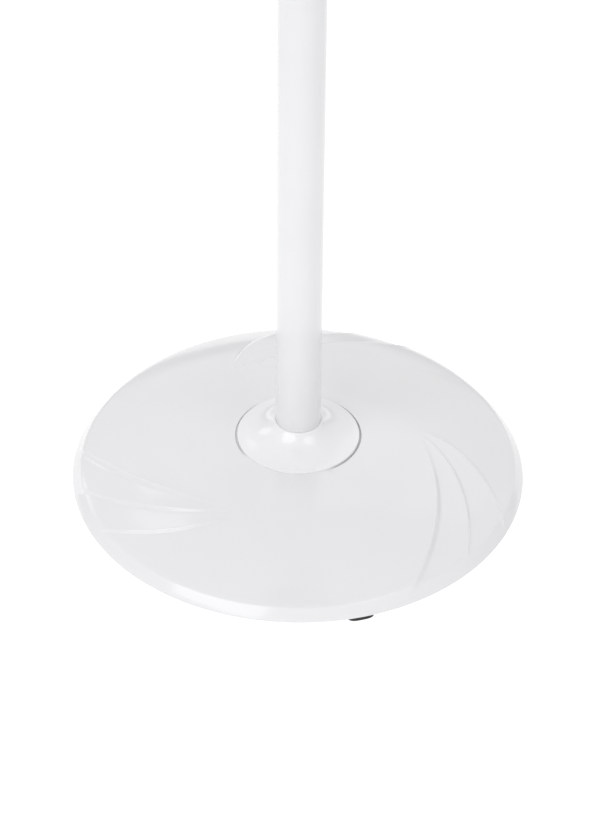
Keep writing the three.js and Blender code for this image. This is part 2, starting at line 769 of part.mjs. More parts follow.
// Short threaded gland under the housing, open right through for the cord.
function cableGland() {
  const outline = [
    [3.8, -POD_RADIUS - 16],
    [7, -POD_RADIUS - 16],
    [9.5, -POD_RADIUS - 12],
    [9.5, -POD_RADIUS - 1],
    [6.5, -POD_RADIUS - 1],
    [6.5, -POD_RADIUS + 8],
    [3.8, -POD_RADIUS + 8],
  ];
  return turned('z', outline, SMALL).translate([0, GLAND_Y, 0]);
}

function buildPod(pod) {
  addPart(pod, 'rear_housing', rearHousing(), 'glossWhite');
  addPart(pod, 'intake_grille', intakeGrille(), 'greyPlastic');
  grilleScrewPlaces().forEach((place, i) => {
    addPart(pod, `grille_screw_${i + 1}`, grilleScrew(), 'steel').position.set(...place);
  });
  addPart(pod, 'lint_filter', lintFilter(), 'darkPlastic');
  addPart(pod, 'motor', motor(), 'steel');
  addPart(pod, 'motor_mount', motorMount(), 'darkPlastic');
  addPart(pod, 'motor_shaft', motorShaft(), 'steel');
  addPart(pod, 'impeller', impeller(), 'greyPlastic');
  addPart(pod, 'fan_shroud', fanShroud(), 'castAluminium');
  addPart(pod, 'heater_frame', heaterFrame(), 'mica');
  COIL_RADII.forEach((radius, i) => {
    addPart(pod, `heater_coil_${i + 1}`, coilRing(radius, 3.2), 'heatingWire');
  });
  addPart(pod, 'thermal_cut_out', thermalCutOut(), 'steel');
  addPart(pod, 'control_panel', controlPanel(), 'greyPlastic');
  addPart(pod, 'terminal_block', terminalBlock(), 'darkPlastic');
  addPart(pod, 'cable_gland', cableGland(), 'darkPlastic');
  addPart(pod, 'pilot_lamp', pilotLamp(), 'amberLens');
  addPart(pod, 'rocker_body', rockerBody(), 'darkPlastic');
  const rocker = addPart(pod, 'rocker_switch', rockerSwitch(), 'darkPlastic');
  rocker.position.set(PANEL_FACE - 1, CONTROL_FRONT_Y, SWITCH_ROW_Z);
  rocker.rotation.y = THREE.MathUtils.degToRad(-6);
  const controls = [
    { prefix: 'timer', y: CONTROL_FRONT_Y, radius: 16 },
    { prefix: 'heat', y: CONTROL_BACK_Y, radius: 14 },
  ];
  controls.forEach(({ prefix, y, radius }) => {
    addPart(pod, `${prefix}_unit`, switchUnit(), 'darkPlastic').position.set(0, y, KNOB_ROW_Z);
    addPart(pod, `${prefix}_knob`, dialKnob(radius, 15), 'darkPlastic').position.set(0, y, KNOB_ROW_Z);
  });
}

// ---- hood, about its centre ---------------------------------------------------------------------------

// Everything below the opening plane and below the slanted face opening; the hood's edge lies on it.
function openingCutter(inset) {
  const far = 260;
  const low = -HOOD_OPENING_DROP + inset;
  const below = block([-far, -far, -far], [far, far, low]);
  const slope = new THREE.Shape();
  // an inset edge moves back by tan(22.5 deg) of the inset, where the level and slanted cuts meet
  const start = -FACE_CUT_START + inset * Math.tan(Math.PI / 8);
  slope.moveTo(start, low);
  slope.lineTo(start, low - 40);
  slope.lineTo(-far, low - 40);
  slope.lineTo(-far, low + far + start);
  const options = { depth: 2 * far, bevelEnabled: false };
  const wedge = new THREE.ExtrudeGeometry(slope, options);
  wedge.applyMatrix4(new THREE.Matrix4().set(0, 0, 1, -far, 1, 0, 0, 0, 0, 1, 0, 0, 0, 0, 0, 1));
  return join(below, solid(wedge));
}

function hoodShell() {
  const skin = cut(ball(HOOD_RADIUS), ball(HOOD_RADIUS - HOOD_WALL), openingCutter(0));
  const duct = rod('y', SHROUD_RADIUS + 1.5, 100, 200, FINE).translate([0, 0, POD_RISE - HOOD_RISE]);
  return cut(skin, duct);
}

// Smooth wall of the inner bowl, from the hood's edge up to the air diffuser's seat.
function hoodBowl() {
  const skin = cut(ball(BOWL_RADIUS), ball(BOWL_RADIUS - BOWL_WALL), openingCutter(0));
  const crown = block([-200, -200, DIFFUSER_SEAT], [200, 200, 200]);
  return cut(skin, crown);
}

// Perforated crown of the inner bowl, with a flange that sits on the bowl's wall.
function airDiffuser() {
  const seat = DIFFUSER_SEAT + GAP;
  const crown = block([-200, -200, seat], [200, 200, 200]);
  const skin = cut(ball(BOWL_RADIUS), ball(BOWL_RADIUS - BOWL_WALL)).intersect(crown);
  const edge = Math.sqrt(BOWL_RADIUS ** 2 - seat ** 2);
  const flange = tube('z', edge + 5, edge - 1.2, seat, seat + 2, ROUND);
  const rings = [
    { tilt: 14, count: 6 },
    { tilt: 27, count: 12 },
    { tilt: 40, count: 18 },
  ];
  const holes = rings.flatMap(({ tilt, count }) =>
    Array.from({ length: count }, (_, i) => {
      const hole = rod('z', AIR_HOLE_RADIUS, BOWL_RADIUS - 15, BOWL_RADIUS + 5, 6);
      return hole.rotate([0, tilt, 0]).rotate([0, 0, ((i + 0.5) * 360) / count]);
    }),
  );
  return cut(join(skin, flange), ...holes);
}

// Flat band that closes the air space between the outer shell and the bowl, all round the opening.
function hoodRim() {
  const space = cut(ball(HOOD_RADIUS - HOOD_WALL - GAP), ball(BOWL_RADIUS + GAP));
  return cut(space.intersect(openingCutter(RIM_WALL)), openingCutter(0));
}

// Wedge about the X axis between two angles measured up from straight ahead (-Y).
function lune(fromDegrees, toDegrees, reach) {
  const shape = new THREE.Shape();
  shape.moveTo(0, 0);
  const steps = 6;
  for (let i = 0; i <= steps; i += 1) {
    const angle = THREE.MathUtils.degToRad(fromDegrees + ((toDegrees - fromDegrees) * i) / steps);
    shape.lineTo(-reach * Math.cos(angle), reach * Math.sin(angle));
  }
  const options = { depth: 2 * reach, bevelEnabled: false };
  const geometry = new THREE.ExtrudeGeometry(shape, options);
  geometry.applyMatrix4(new THREE.Matrix4().set(0, 0, 1, -reach, 1, 0, 0, 0, 0, 1, 0, 0, 0, 0, 0, 1));
  return solid(geometry);
}

// Clear visor: a slice of a sphere like a helmet's, with a round eye at each pivot.
function visor() {
  const skin = cut(ball(VISOR_RADIUS), ball(VISOR_RADIUS - VISOR_WALL));
  const eyes = [rod('x', 17, -220, -150, SMALL), rod('x', 17, 150, 220, SMALL)];
  const blank = skin.intersect(join(lune(VISOR_LOW, VISOR_HIGH, 260), ...eyes));
  return cut(blank, rod('x', 6 + GAP, -220, 220, SMALL));
}

// Shouldered pivot screw, seated on the hood's side and headed outside the visor.
function visorPivot() {
  const outline = [
    [0, HOOD_RADIUS + GAP],
    [6, HOOD_RADIUS + GAP],
    [6, VISOR_RADIUS + GAP],
    [13, VISOR_RADIUS + GAP],
    [12, VISOR_RADIUS + 4],
    [0, VISOR_RADIUS + 5],
  ];
  return turned('x', outline, SMALL);
}

function buildHood(hood) {
  addPart(hood, 'hood_shell', hoodShell(), 'glossWhite');
  addPart(hood, 'hood_bowl', hoodBowl(), 'paleBowl');
  addPart(hood, 'air_diffuser', airDiffuser(), 'paleBowl');
  addPart(hood, 'hood_rim', hoodRim(), 'greyPlastic');
  addPart(hood, 'visor', visor(), 'smokedClear');
  addPart(hood, 'visor_pivot_right', visorPivot(), 'greyPlastic');
  addPart(hood, 'visor_pivot_left', visorPivot().rotate([0, 0, 180]), 'greyPlastic');
}

// ---- assembly -----------------------------------------------------------------------------------------

function groupAt(parent, x, y, z) {
  const group = new THREE.Group();
  group.position.set(x, y, z);
  parent.add(group);
  return group;
}

const dryer = new THREE.Group();
const stand = groupAt(dryer, 0, 0, 0);
const mast = groupAt(dryer, 0, 0, 0);
const bracket = groupAt(mast, 0, 0, TILT_HEIGHT);
const head = groupAt(bracket, 0, 0, 0);
const pod = groupAt(head, 0, 0, POD_RISE);
const hood = groupAt(head, 0, -HOOD_REACH, HOOD_RISE);

buildBase(stand);
buildPole(stand, mast);
buildBracket(bracket, head);
buildPod(pod);
buildHood(hood);

// the origin is on the floor, under the middle of the dryer's overall length
const middle = new THREE.Box3().setFromObject(dryer).getCenter(new THREE.Vector3());
dryer.position.y = -middle.y;

export default dryer;
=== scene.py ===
"""Floor-standing hood hair dryer: the finished surfaces and materials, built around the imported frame.

Lengths are in millimetres until a mesh is made, and the frame is in metres. The pole, the tilt axis, the
rear housing's axis and the hood's centre are read from the frame. Every piece is laid out about one of them.
"""
import json
import math

import bmesh
import bpy
from mathutils import Matrix, Vector


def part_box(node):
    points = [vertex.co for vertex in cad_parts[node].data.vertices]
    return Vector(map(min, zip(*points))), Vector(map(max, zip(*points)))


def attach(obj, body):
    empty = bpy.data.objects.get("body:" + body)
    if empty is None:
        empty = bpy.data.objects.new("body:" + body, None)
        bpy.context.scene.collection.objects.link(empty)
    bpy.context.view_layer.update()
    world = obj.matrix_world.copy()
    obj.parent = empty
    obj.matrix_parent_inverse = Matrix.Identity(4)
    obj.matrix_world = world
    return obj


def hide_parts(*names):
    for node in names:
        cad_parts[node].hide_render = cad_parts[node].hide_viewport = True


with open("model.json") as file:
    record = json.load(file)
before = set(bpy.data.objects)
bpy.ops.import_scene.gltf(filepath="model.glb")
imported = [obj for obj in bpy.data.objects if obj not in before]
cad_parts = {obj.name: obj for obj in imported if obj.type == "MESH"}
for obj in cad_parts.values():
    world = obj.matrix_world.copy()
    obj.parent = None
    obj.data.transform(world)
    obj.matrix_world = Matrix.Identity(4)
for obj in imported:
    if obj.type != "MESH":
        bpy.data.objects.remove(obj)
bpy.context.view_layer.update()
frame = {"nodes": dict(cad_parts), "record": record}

MM = 0.001
SIDES = 128  # columns round a large turned piece

# ---- places and sizes, from the frame ----


def node_box(node):
    """Lowest and highest corner of a CAD node, in millimetres."""
    low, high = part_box(node)
    return low / MM, high / MM


def node_centre(node, **fixed):
    """Middle of a CAD node, in millimetres, with any given coordinate in place of its own."""
    low, high = node_box(node)
    centre = (low + high) / 2
    for axis, value in fixed.items():
        setattr(centre, axis, value)
    return centre


def node_size(node):
    low, high = node_box(node)
    return high - low


POLE = Vector((0, node_centre("lower_pole").y, 0))
LOWER_POLE_RADIUS = node_size("lower_pole").x / 2
UPPER_POLE_RADIUS = node_size("upper_pole").x / 2
POLE_WALL = 2.0
TILT_AXIS = Vector((0, POLE.y, node_centre("tilt_pin").z))
POD_AXIS = Vector((0, POLE.y, node_centre("rear_housing").z))
POD_RADIUS = node_size("rear_housing").x / 2
HOOD_CENTRE = node_centre("visor_pivot_right", x=0)
HOOD_RADIUS = node_size("hood_shell").x / 2
HOOD_EDGE = node_box("hood_shell")[0].z - HOOD_CENTRE.z
HOOD_WALL = 3.0
BOWL_RADIUS = node_size("hood_bowl").x / 2
BOWL_WALL = 2.5
FACE_CUT_START = 60.0  # how far ahead of the hood's centre its edge starts to rise
DIFFUSER_SEAT = node_box("air_diffuser")[0].z - HOOD_CENTRE.z
AIR_HOLE_RADIUS = 5.0
PIN_HOLE_RADIUS = 6.3  # for the tilt pin and the visor's pivots
VISOR_RADIUS = HOOD_RADIUS + 6.5
VISOR_WALL = 3.0

# ---- mesh helpers ----


def add_object(name, data):
    obj = bpy.data.objects.new(name, data)
    bpy.context.scene.collection.objects.link(obj)
    return obj


def shade(mesh, sharp_degrees):
    """Smooth shading, but for edges sharper than the given angle."""
    for polygon in mesh.polygons:
        polygon.use_smooth = True
    mesh.set_sharp_from_angle(angle=math.radians(sharp_degrees))


def add_mesh(name, bm, sharp_degrees=32):
    """Puts a finished bmesh in the scene."""
    mesh = bpy.data.meshes.new(name)
    bm.to_mesh(mesh)
    bm.free()
    shade(mesh, sharp_degrees)
    return add_object(name, mesh)


def skin(name, rings, origin=Vector(), closed=True, sharp_degrees=32):
    """Closed surface through rings of points, in mm about origin; a ring of one point is a pole."""
    bm = bmesh.new()
    loops = [[bm.verts.new((Vector(p) + origin) * MM) for p in ring] for ring in rings]
    pairs = list(zip(loops, loops[1:]))
    if closed and len(loops[0]) > 1 and len(loops[-1]) > 1:
        pairs.append((loops[-1], loops[0]))
    for lower, upper in pairs:
        count = max(len(lower), len(upper))
        for i in range(count):
            j = (i + 1) % count
            if len(lower) == 1:
                corners = (lower[0], upper[j], upper[i])
            elif len(upper) == 1:
                corners = (lower[i], lower[j], upper[0])
            else:
                corners = (lower[i], lower[j], upper[j], upper[i])
            bm.faces.new(corners)
    bmesh.ops.recalc_face_normals(bm, faces=bm.faces)
    return add_mesh(name, bm, sharp_degrees)


def filleted(outline, steps=4):
    """Outline of (radius, height) or (radius, height, fillet) points, with each fillet as a curve."""
    result = []
    count = len(outline)
    for i, point in enumerate(outline):
        here = Vector(point[:2])
        fillet = point[2] if len(point) > 2 else 0
        if fillet <= 0:
            result.append(here)
            continue
        before = Vector(outline[i - 1][:2]) - here
        after = Vector(outline[(i + 1) % count][:2]) - here
        start = here + before.normalized() * min(fillet, before.length * 0.49)
        end = here + after.normalized() * min(fillet, after.length * 0.49)
        for k in range(steps + 1):
            t = k / steps
            result.append(start * (1 - t) ** 2 + here * 2 * t * (1 - t) + end * t * t)
    return result


AXES = {
    "x": lambda radius, height, angle: (height, radius * math.cos(angle), radius * math.sin(angle)),
    "y": lambda radius, height, angle: (radius * math.sin(angle), height, radius * math.cos(angle)),
    "z": lambda radius, height, angle: (radius * math.cos(angle), radius * math.sin(angle), height),
}


def turned(name, axis, outline, origin=Vector(), sides=SIDES, swell=None, steps=4):
    """Outline turned about an axis. swell(angle, radius, height) scales the radius, for lobes and flutes."""
    place = AXES[axis]
    rings = []
    for radius, height in filleted(outline, steps):
        if radius < 1e-4:
            rings.append([place(0, height, 0)])
            continue
        ring = []
        for i in range(sides):
            angle = 2 * math.pi * i / sides
            factor = swell(angle, radius, height) if swell else 1
            ring.append(place(radius * factor, height, angle))
        rings.append(ring)
    return skin(name, rings, origin)


def tube(name, axis, outer, inner, low, high, origin=Vector(), fillet=0.5, sides=SIDES):
    outline = [(inner, low, fillet), (outer, low, fillet), (outer, high, fillet), (inner, high, fillet)]
    return turned(name, axis, outline, origin, sides)


def rod(name, axis, radius, low, high, origin=Vector(), fillet=0, sides=64):
    outline = [(0, low), (radius, low, fillet), (radius, high, fillet), (0, high)]
    return turned(name, axis, outline, origin, sides)


def loop_oblong(width, depth, power, count=72):
    """Rounded rectangle as a superellipse, as (x, y) points."""
    points = []
    for i in range(count):
        angle = 2 * math.pi * i / count
        c, s = math.cos(angle), math.sin(angle)
        size = (abs(c) ** power + abs(s) ** power) ** (-1 / power)
        points.append((c * size * width / 2, s * size * depth / 2))
    return points


def prism(name, loop, low, high, to_space, origin=Vector()):
    """Flat loop pushed from low to high; to_space(u, v, w) turns its coordinates into x, y, z."""
    rings = [[to_space(0, 0, low)], [to_space(u, v, low) for u, v in loop]]
    rings += [[to_space(u, v, high) for u, v in loop], [to_space(0, 0, high)]]
    return skin(name, rings, origin, closed=False)


def along_x(u, v, w):
    return (w, u, v)


def along_y(u, v, w):
    return (u, w, v)


def along_z(u, v, w):
    return (u, v, w)


def turned_by(turn, to_space):
    """The same placing of a loop, turned by a matrix."""
    return lambda u, v, w: turn @ Vector(to_space(u, v, w))


def arc(radius, end, steps):
    """Points (radius sin, radius cos) from the second axis round to an angle."""
    angles = [end * i / steps for i in range(steps + 1)]
    return [(radius * math.sin(angle), radius * math.cos(angle)) for angle in angles]


def block(name, low, high, origin=Vector()):
    corners = [(low[0], low[1]), (high[0], low[1]), (high[0], high[1]), (low[0], high[1])]
    rings = [[(x, y, low[2]) for x, y in corners], [(x, y, high[2]) for x, y in corners]]
    middle = ((low[0] + high[0]) / 2, (low[1] + high[1]) / 2)
    rings = [[(*middle, low[2])], *rings, [(*middle, high[2])]]
    return skin(name, rings, origin, closed=False)


def baked(obj):
    """Applies every modifier of an object to its mesh."""
    graph = bpy.context.evaluated_depsgraph_get()
    mesh = bpy.data.meshes.new_from_object(obj.evaluated_get(graph))
    obj.modifiers.clear()
    obj.data = mesh
    return obj


def combine(obj, tools, operation="DIFFERENCE"):
    """Cuts or joins an object with the tools, which are then deleted."""
    for tool in tools:
        modifier = obj.modifiers.new(operation, "BOOLEAN")
        modifier.operation = operation
        modifier.solver = "EXACT"
        modifier.object = tool
        baked(obj)
        bpy.data.objects.remove(tool)
    return obj


def gather(name, objects):
    """Joins objects that don't touch into one object."""
    bm = bmesh.new()
    for obj in objects:
        bm.from_mesh(obj.data)
        bpy.data.objects.remove(obj)
    return add_mesh(name, bm)


def softened(obj, width, segments=3, degrees=35):
    """Rounds the edges that are sharper than the given angle."""
    modifier = obj.modifiers.new("edges", "BEVEL")
    modifier.width = width * MM
    modifier.segments = segments
    modifier.limit_method = "ANGLE"
    modifier.angle_limit = math.radians(degrees)
    baked(obj)
    shade(obj.data, 50)
    return obj


def finish_piece(obj, slot, body, *nodes, material=None):
    """Gives a piece its slot, the slot's material or another, its body and the CAD nodes it stands for."""
    obj.data.materials.clear()
    obj.data.materials.append(MATERIALS[material or slot])
    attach(obj, body)
    if nodes:
        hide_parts(*nodes)


# ---- materials ----


def set_inputs(node, values):
    """Sets the unlinked values of a node's inputs, given by name."""
    for name, value in values.items():
        node.inputs[name].default_value = value


def remap(tree, source, start, end, low=0.0, high=1.0, kind="LINEAR"):
    """Value that goes from low to high while its source goes from start to end."""
    node = tree.nodes.new("ShaderNodeMapRange")
    node.interpolation_type = kind
    set_inputs(node, {"From Min": start, "From Max": end, "To Min": low, "To Max": high})
    tree.links.new(source, node.inputs["Value"])
    return node.outputs["Result"]


def calculation(tree, operation, first, second):
    """Value worked out from two others by a Math node."""
    node = tree.nodes.new("ShaderNodeMath")
    node.operation = operation
    tree.links.new(first, node.inputs[0])
    tree.links.new(second, node.inputs[1])
    return node.outputs["Value"]


MATERIALS = {}  # every finish, by name


class Finish:
    """A Principled material whose colour, roughness and bump come from noise over the object's own space."""

    def __init__(self, name, roughness, metallic=0.0, coat=0.0, coat_roughness=0.05, ior=1.5):
        self.material = MATERIALS[name] = bpy.data.materials.new(name)
        self.material.use_nodes = True
        self.tree = self.material.node_tree
        self.nodes, self.links = self.tree.nodes, self.tree.links
        self.shader = self.nodes["Principled BSDF"]
        set_inputs(self.shader, {"Roughness": roughness, "Metallic": metallic, "IOR": ior})
        set_inputs(self.shader, {"Coat Weight": coat, "Coat Roughness": coat_roughness})
        self.coordinates = self.nodes.new("ShaderNodeTexCoord")
        self.normal = None

    def noise(self, scale, detail=3.0, roughness=0.5, stretch=None):
        """Noise at so many cycles a metre, stretched along an axis if asked."""
        node = self.nodes.new("ShaderNodeTexNoise")
        set_inputs(node, {"Scale": scale, "Detail": detail, "Roughness": roughness})
        source = self.coordinates.outputs["Object"]
        if stretch:
            mapping = self.nodes.new("ShaderNodeMapping")
            mapping.inputs["Scale"].default_value = stretch
            self.links.new(source, mapping.inputs["Vector"])
            source = mapping.outputs["Vector"]
        self.links.new(source, node.inputs["Vector"])
        return node.outputs["Fac"]

    def tint(self, source, dark, light):
        """Base colour that wanders between two colours."""
        ramp = self.nodes.new("ShaderNodeValToRGB")
        for stop, position, colour in zip(ramp.color_ramp.elements, (0.32, 0.68), (dark, light)):
            stop.position = position
            stop.color = (*colour, 1)
        self.links.new(source, ramp.inputs["Fac"])
        self.links.new(ramp.outputs["Color"], self.shader.inputs["Base Color"])

    def polish(self, source, low, high):
        """Roughness from low to high, over the 0.3 to 0.7 that noise usually spans."""
        self.links.new(remap(self.tree, source, 0.3, 0.7, low, high), self.shader.inputs["Roughness"])

    def bump(self, source, height_mm):
        node = self.nodes.new("ShaderNodeBump")
        node.inputs["Distance"].default_value = height_mm * MM
        self.links.new(source, node.inputs["Height"])
        if self.normal is not None:
            self.links.new(self.normal, node.inputs["Normal"])
        self.normal = node.outputs["Normal"]
        self.links.new(self.normal, self.shader.inputs["Normal"])


def gloss_white(name, tone=0.80):
    """Glossy moulded white plastic: faint colour drift, moulding ripple and a fine orange peel."""
    finish = Finish(name, 0.14, coat=0.35, coat_roughness=0.04)
    light = (tone, tone, tone * 1.016)
    dark = tuple(c * 0.982 for c in light)
    finish.tint(finish.noise(9), dark, light)
    finish.polish(finish.noise(60, detail=4), 0.10, 0.19)
    finish.bump(finish.noise(22, detail=1), 0.05)
    finish.bump(finish.noise(900, detail=2), 0.004)


def white_enamel():
    """Stoved enamel on steel tube: harder gloss, with the slight ripple of sprayed paint."""
    finish = Finish("white_enamel", 0.12, coat=0.5, coat_roughness=0.03)
    finish.tint(finish.noise(14), (0.77, 0.77, 0.783), (0.79, 0.79, 0.802))
    finish.polish(finish.noise(90), 0.09, 0.16)
    finish.bump(finish.noise(420, detail=2), 0.008)


def moulded_plastic(name, dark, light, low, high, grain_mm=0.02):
    """Moulded plastic with a fine spark-eroded grain and handling marks in its sheen."""
    finish = Finish(name, (low + high) / 2)
    finish.tint(finish.noise(30, detail=4), dark, light)
    finish.polish(finish.noise(75, detail=5, roughness=0.6), low, high)
    finish.bump(finish.noise(2600, detail=2), grain_mm)


def rubber():
    finish = Finish("black_rubber", 0.75)
    finish.tint(finish.noise(120, detail=5), (0.010, 0.010, 0.011), (0.022, 0.022, 0.023))
    finish.polish(finish.noise(300, detail=4), 0.6, 0.85)
    finish.bump(finish.noise(1800, detail=3), 0.03)


def chromed_steel():
    """Bright chrome: nearly a mirror, with wiping marks and faint lengthwise draw lines."""
    finish = Finish("chromed_steel", 0.08, metallic=1.0)
    finish.tint(finish.noise(12), (0.74, 0.75, 0.77), (0.80, 0.81, 0.82))
    finish.polish(finish.noise(110, detail=5, stretch=(1, 1, 0.15)), 0.05, 0.14)
    finish.bump(finish.noise(700, detail=1, stretch=(1, 1, 0.02)), 0.003)


def plated_steel():
    finish = Finish("plated_steel", 0.32, metallic=1.0)
    finish.tint(finish.noise(150, detail=5), (0.44, 0.45, 0.47), (0.60, 0.61, 0.62))
    finish.polish(finish.noise(260, detail=4), 0.24, 0.42)
    finish.bump(finish.noise(900, detail=3), 0.012)


def cast_metal(name, dark, light, metallic, low, high, grain_mm):
    finish = Finish(name, (low + high) / 2, metallic=metallic)
    finish.tint(finish.noise(60, detail=6, roughness=0.6), dark, light)
    finish.polish(finish.noise(400, detail=4), low, high)
    finish.bump(finish.noise(1100, detail=4, roughness=0.65), grain_mm)


def mica_board():
    finish = Finish("mica", 0.5)
    finish.tint(finish.noise(500, detail=6, roughness=0.7), (0.36, 0.29, 0.17), (0.58, 0.50, 0.36))
    finish.bump(finish.noise(600, detail=5), 0.05)


def heating_wire():
    finish = Finish("heating_wire", 0.45, metallic=1.0)
    finish.tint(finish.noise(200, detail=4), (0.16, 0.14, 0.13), (0.36, 0.33, 0.30))
    finish.polish(finish.noise(300), 0.35, 0.6)
    finish.bump(finish.noise(1500), 0.02)


def smoked_clear():
    """Smoked acrylic: see-through, glossy, with hairline wiping marks."""
    finish = Finish("smoked_clear", 0.05, coat=0.6, coat_roughness=0.02, ior=1.49)
    finish.tint(finish.noise(15), (0.10, 0.12, 0.14), (0.13, 0.15, 0.17))
    finish.polish(finish.noise(240, detail=6, stretch=(0.2, 1, 1)), 0.03, 0.09)
    finish.shader.inputs["Alpha"].default_value = 0.42


def amber_lens():
    finish = Finish("amber_lens", 0.1, coat=0.5)
    finish.tint(finish.noise(400), (0.80, 0.20, 0.01), (0.92, 0.32, 0.02))
    finish.bump(finish.noise(900), 0.01)
    finish.shader.inputs["Transmission Weight"].default_value = 0.35


def filter_mesh():
    """Fine woven filter cloth: two crossed wave patterns as bump and shade."""
    finish = Finish("filter_mesh", 0.8)
    waves = []
    for direction in ("X", "Z"):
        wave = finish.nodes.new("ShaderNodeTexWave")
        wave.bands_direction = direction
        set_inputs(wave, {"Scale": 260, "Distortion": 0.4})
        finish.links.new(finish.coordinates.outputs["Object"], wave.inputs["Vector"])
        waves.append(wave.outputs["Fac"])
    weave = calculation(finish.tree, "MAXIMUM", *waves)
    finish.tint(weave, (0.004, 0.004, 0.005), (0.05, 0.05, 0.055))
    finish.bump(weave, 0.2)


white_enamel()
gloss_white("gloss_white_plastic")
gloss_white("collar_white", 0.86)
moulded_plastic("grey_plastic", (0.125, 0.133, 0.145), (0.165, 0.173, 0.187), 0.36, 0.52)
moulded_plastic("dark_plastic", (0.013, 0.014, 0.016), (0.022, 0.023, 0.026), 0.3, 0.46)
moulded_plastic("bowl_plastic", (0.50, 0.52, 0.55), (0.57, 0.59, 0.62), 0.22, 0.34, 0.008)
smoked_clear()
rubber()
chromed_steel()
plated_steel()
cast_metal("cast_iron", (0.030, 0.030, 0.033), (0.055, 0.055, 0.058), 0.3, 0.55, 0.75, 0.12)
cast_metal("cast_aluminium", (0.52, 0.53, 0.54), (0.64, 0.65, 0.66), 0.9, 0.32, 0.46, 0.02)
mica_board()
heating_wire()
amber_lens()
filter_mesh()

# ---- base ----

FOOT_HEIGHT = node_box("base_cover")[0].z  # underside of the rim
SKIRT_RADIUS = 201.9  # of the rim's lowest edge
BASE_RADIUS = 200.0  # at which the dome's curve would come down to the rim's top
RIM_TOP = FOOT_HEIGHT + 6.5
COLLAR_RADIUS = 56.2
COLLAR_EDGE = COLLAR_RADIUS - 2.0  # rim of the collar itself, inside the shadow gap
COLLAR_RISE = 18.5
COLLAR_STEEPEST = math.radians(52)  # slope just below the shoulder
DOME_TOP = RIM_TOP + 32.9
COVER_WALL = 3.0
CREASE_RADIUS = 193.7  # where the dome turns down into its bevelled rim
FAN_TIP_RADIUS = 108.0
RIDGE_HEIGHTS = (3.8, 2.6, 2.4)
RIDGE_WALLS = (4.2, 2.6, 2.6)  # plan width of each ridge's steep side
CREST_BEAD = 2.2  # plan width of the steeper lip just before a ridge's crest
RIDGE_LEAD = 26.0  # degrees of gentle slope before a fan's first crest
BOW_GROWTH = 1.43  # bow of each ridge compared with the one before
# Directions in degrees of a fan's tip and of its first ridge at the rim, the step from each ridge to the
# next at the rim, and the power that bows the first ridge.
FANS = (
    {"tip": 123.0, "first": 56.0, "step": 15.5, "bow": 0.56},
    {"tip": 244.5, "first": 174.0, "step": 16.5, "bow": 0.526},
    {"tip": 366.0, "first": 297.5, "step": 18.3, "bow": 0.6},
)


def smooth(t):
    t = min(max(t, 0.0), 1.0)
    return t * t * (3 - 2 * t)


def dome_height(radius):
    outward = (max(radius, COLLAR_RADIUS) - COLLAR_RADIUS) / (BASE_RADIUS - COLLAR_RADIUS)
    return DOME_TOP - (DOME_TOP - RIM_TOP) * outward ** 2


def fan_share(radius):
    return (radius - FAN_TIP_RADIUS) / (BASE_RADIUS - FAN_TIP_RADIUS)


def crest_angle(fan, ridge, radius):
    """Direction, in degrees, of a ridge's crest at a radius."""
    span = fan["tip"] - fan["first"] - ridge * fan["step"]
    share = min(max(fan_share(radius), 0.02), 1.0)
    return fan["tip"] - span * share ** (fan["bow"] * BOW_GROWTH ** ridge)


def crest_height(ridge, radius):
    share = min(max(fan_share(radius), 0.0), 1.0)
    return RIDGE_HEIGHTS[ridge] * smooth(share / 0.45) * (1 - 0.45 * share * share)


def wall_angle(fan, ridge, radius, room):
    """Angle that a ridge's steep side takes, in degrees, allowing for the ridge's slant."""
    slope = math.radians(crest_angle(fan, ridge, radius + 1) - crest_angle(fan, ridge, radius))
    return min(math.degrees(RIDGE_WALLS[ridge] / radius) * math.hypot(1, radius * slope), 0.5 * room)


def cover_columns(radius):
    """Columns of the cover's mesh at a radius, as (angle in degrees, height above the plain dome)."""
    columns = []
    for index, fan in enumerate(FANS):
        following = FANS[(index + 1) % len(FANS)]
        turn = 0 if index + 1 < len(FANS) else 360
        start = crest_angle(fan, 0, radius) - RIDGE_LEAD
        for ridge in range(len(RIDGE_HEIGHTS)):
            crest = crest_angle(fan, ridge, radius)
            top = crest_height(ridge, radius)
            ramp = 22 if ridge == 0 else 14
            bead = min(math.degrees(CREST_BEAD / radius), 0.3 * (crest - start))
            rise = crest - bead - start
            columns += [(start + rise * i / ramp, top * 0.85 * (i / ramp) ** 1.5) for i in range(ramp)]
            columns += [(crest - bead * (1 - i / 4), top * (0.85 + 0.15 * smooth(i / 4))) for i in range(4)]
            last = ridge + 1 == len(RIDGE_HEIGHTS)
            room = fan["step"] if last else crest_angle(fan, ridge + 1, radius) - crest
            wall = wall_angle(fan, ridge, radius, room)
            columns += [(crest + wall * i / 7, top * (1 - smooth(i / 7))) for i in range(7)]
            start = crest + wall
        end = crest_angle(following, 0, radius) - RIDGE_LEAD + turn
        columns += [(start + (end - start) * i / 26, 0.0) for i in range(26)]
    return columns


def collar_groove(degrees):
    """Depth of the shadow gap round the collar: open at the right, narrower at the left, shut elsewhere."""
    depth = 0.0
    for middle, half_width, deepest in ((-5.0, 62.0, 2.4), (172.0, 48.0, 1.3)):
        away = abs((degrees - middle + 180) % 360 - 180)
        depth += deepest * smooth(2.2 * (1 - away / half_width))
    return depth


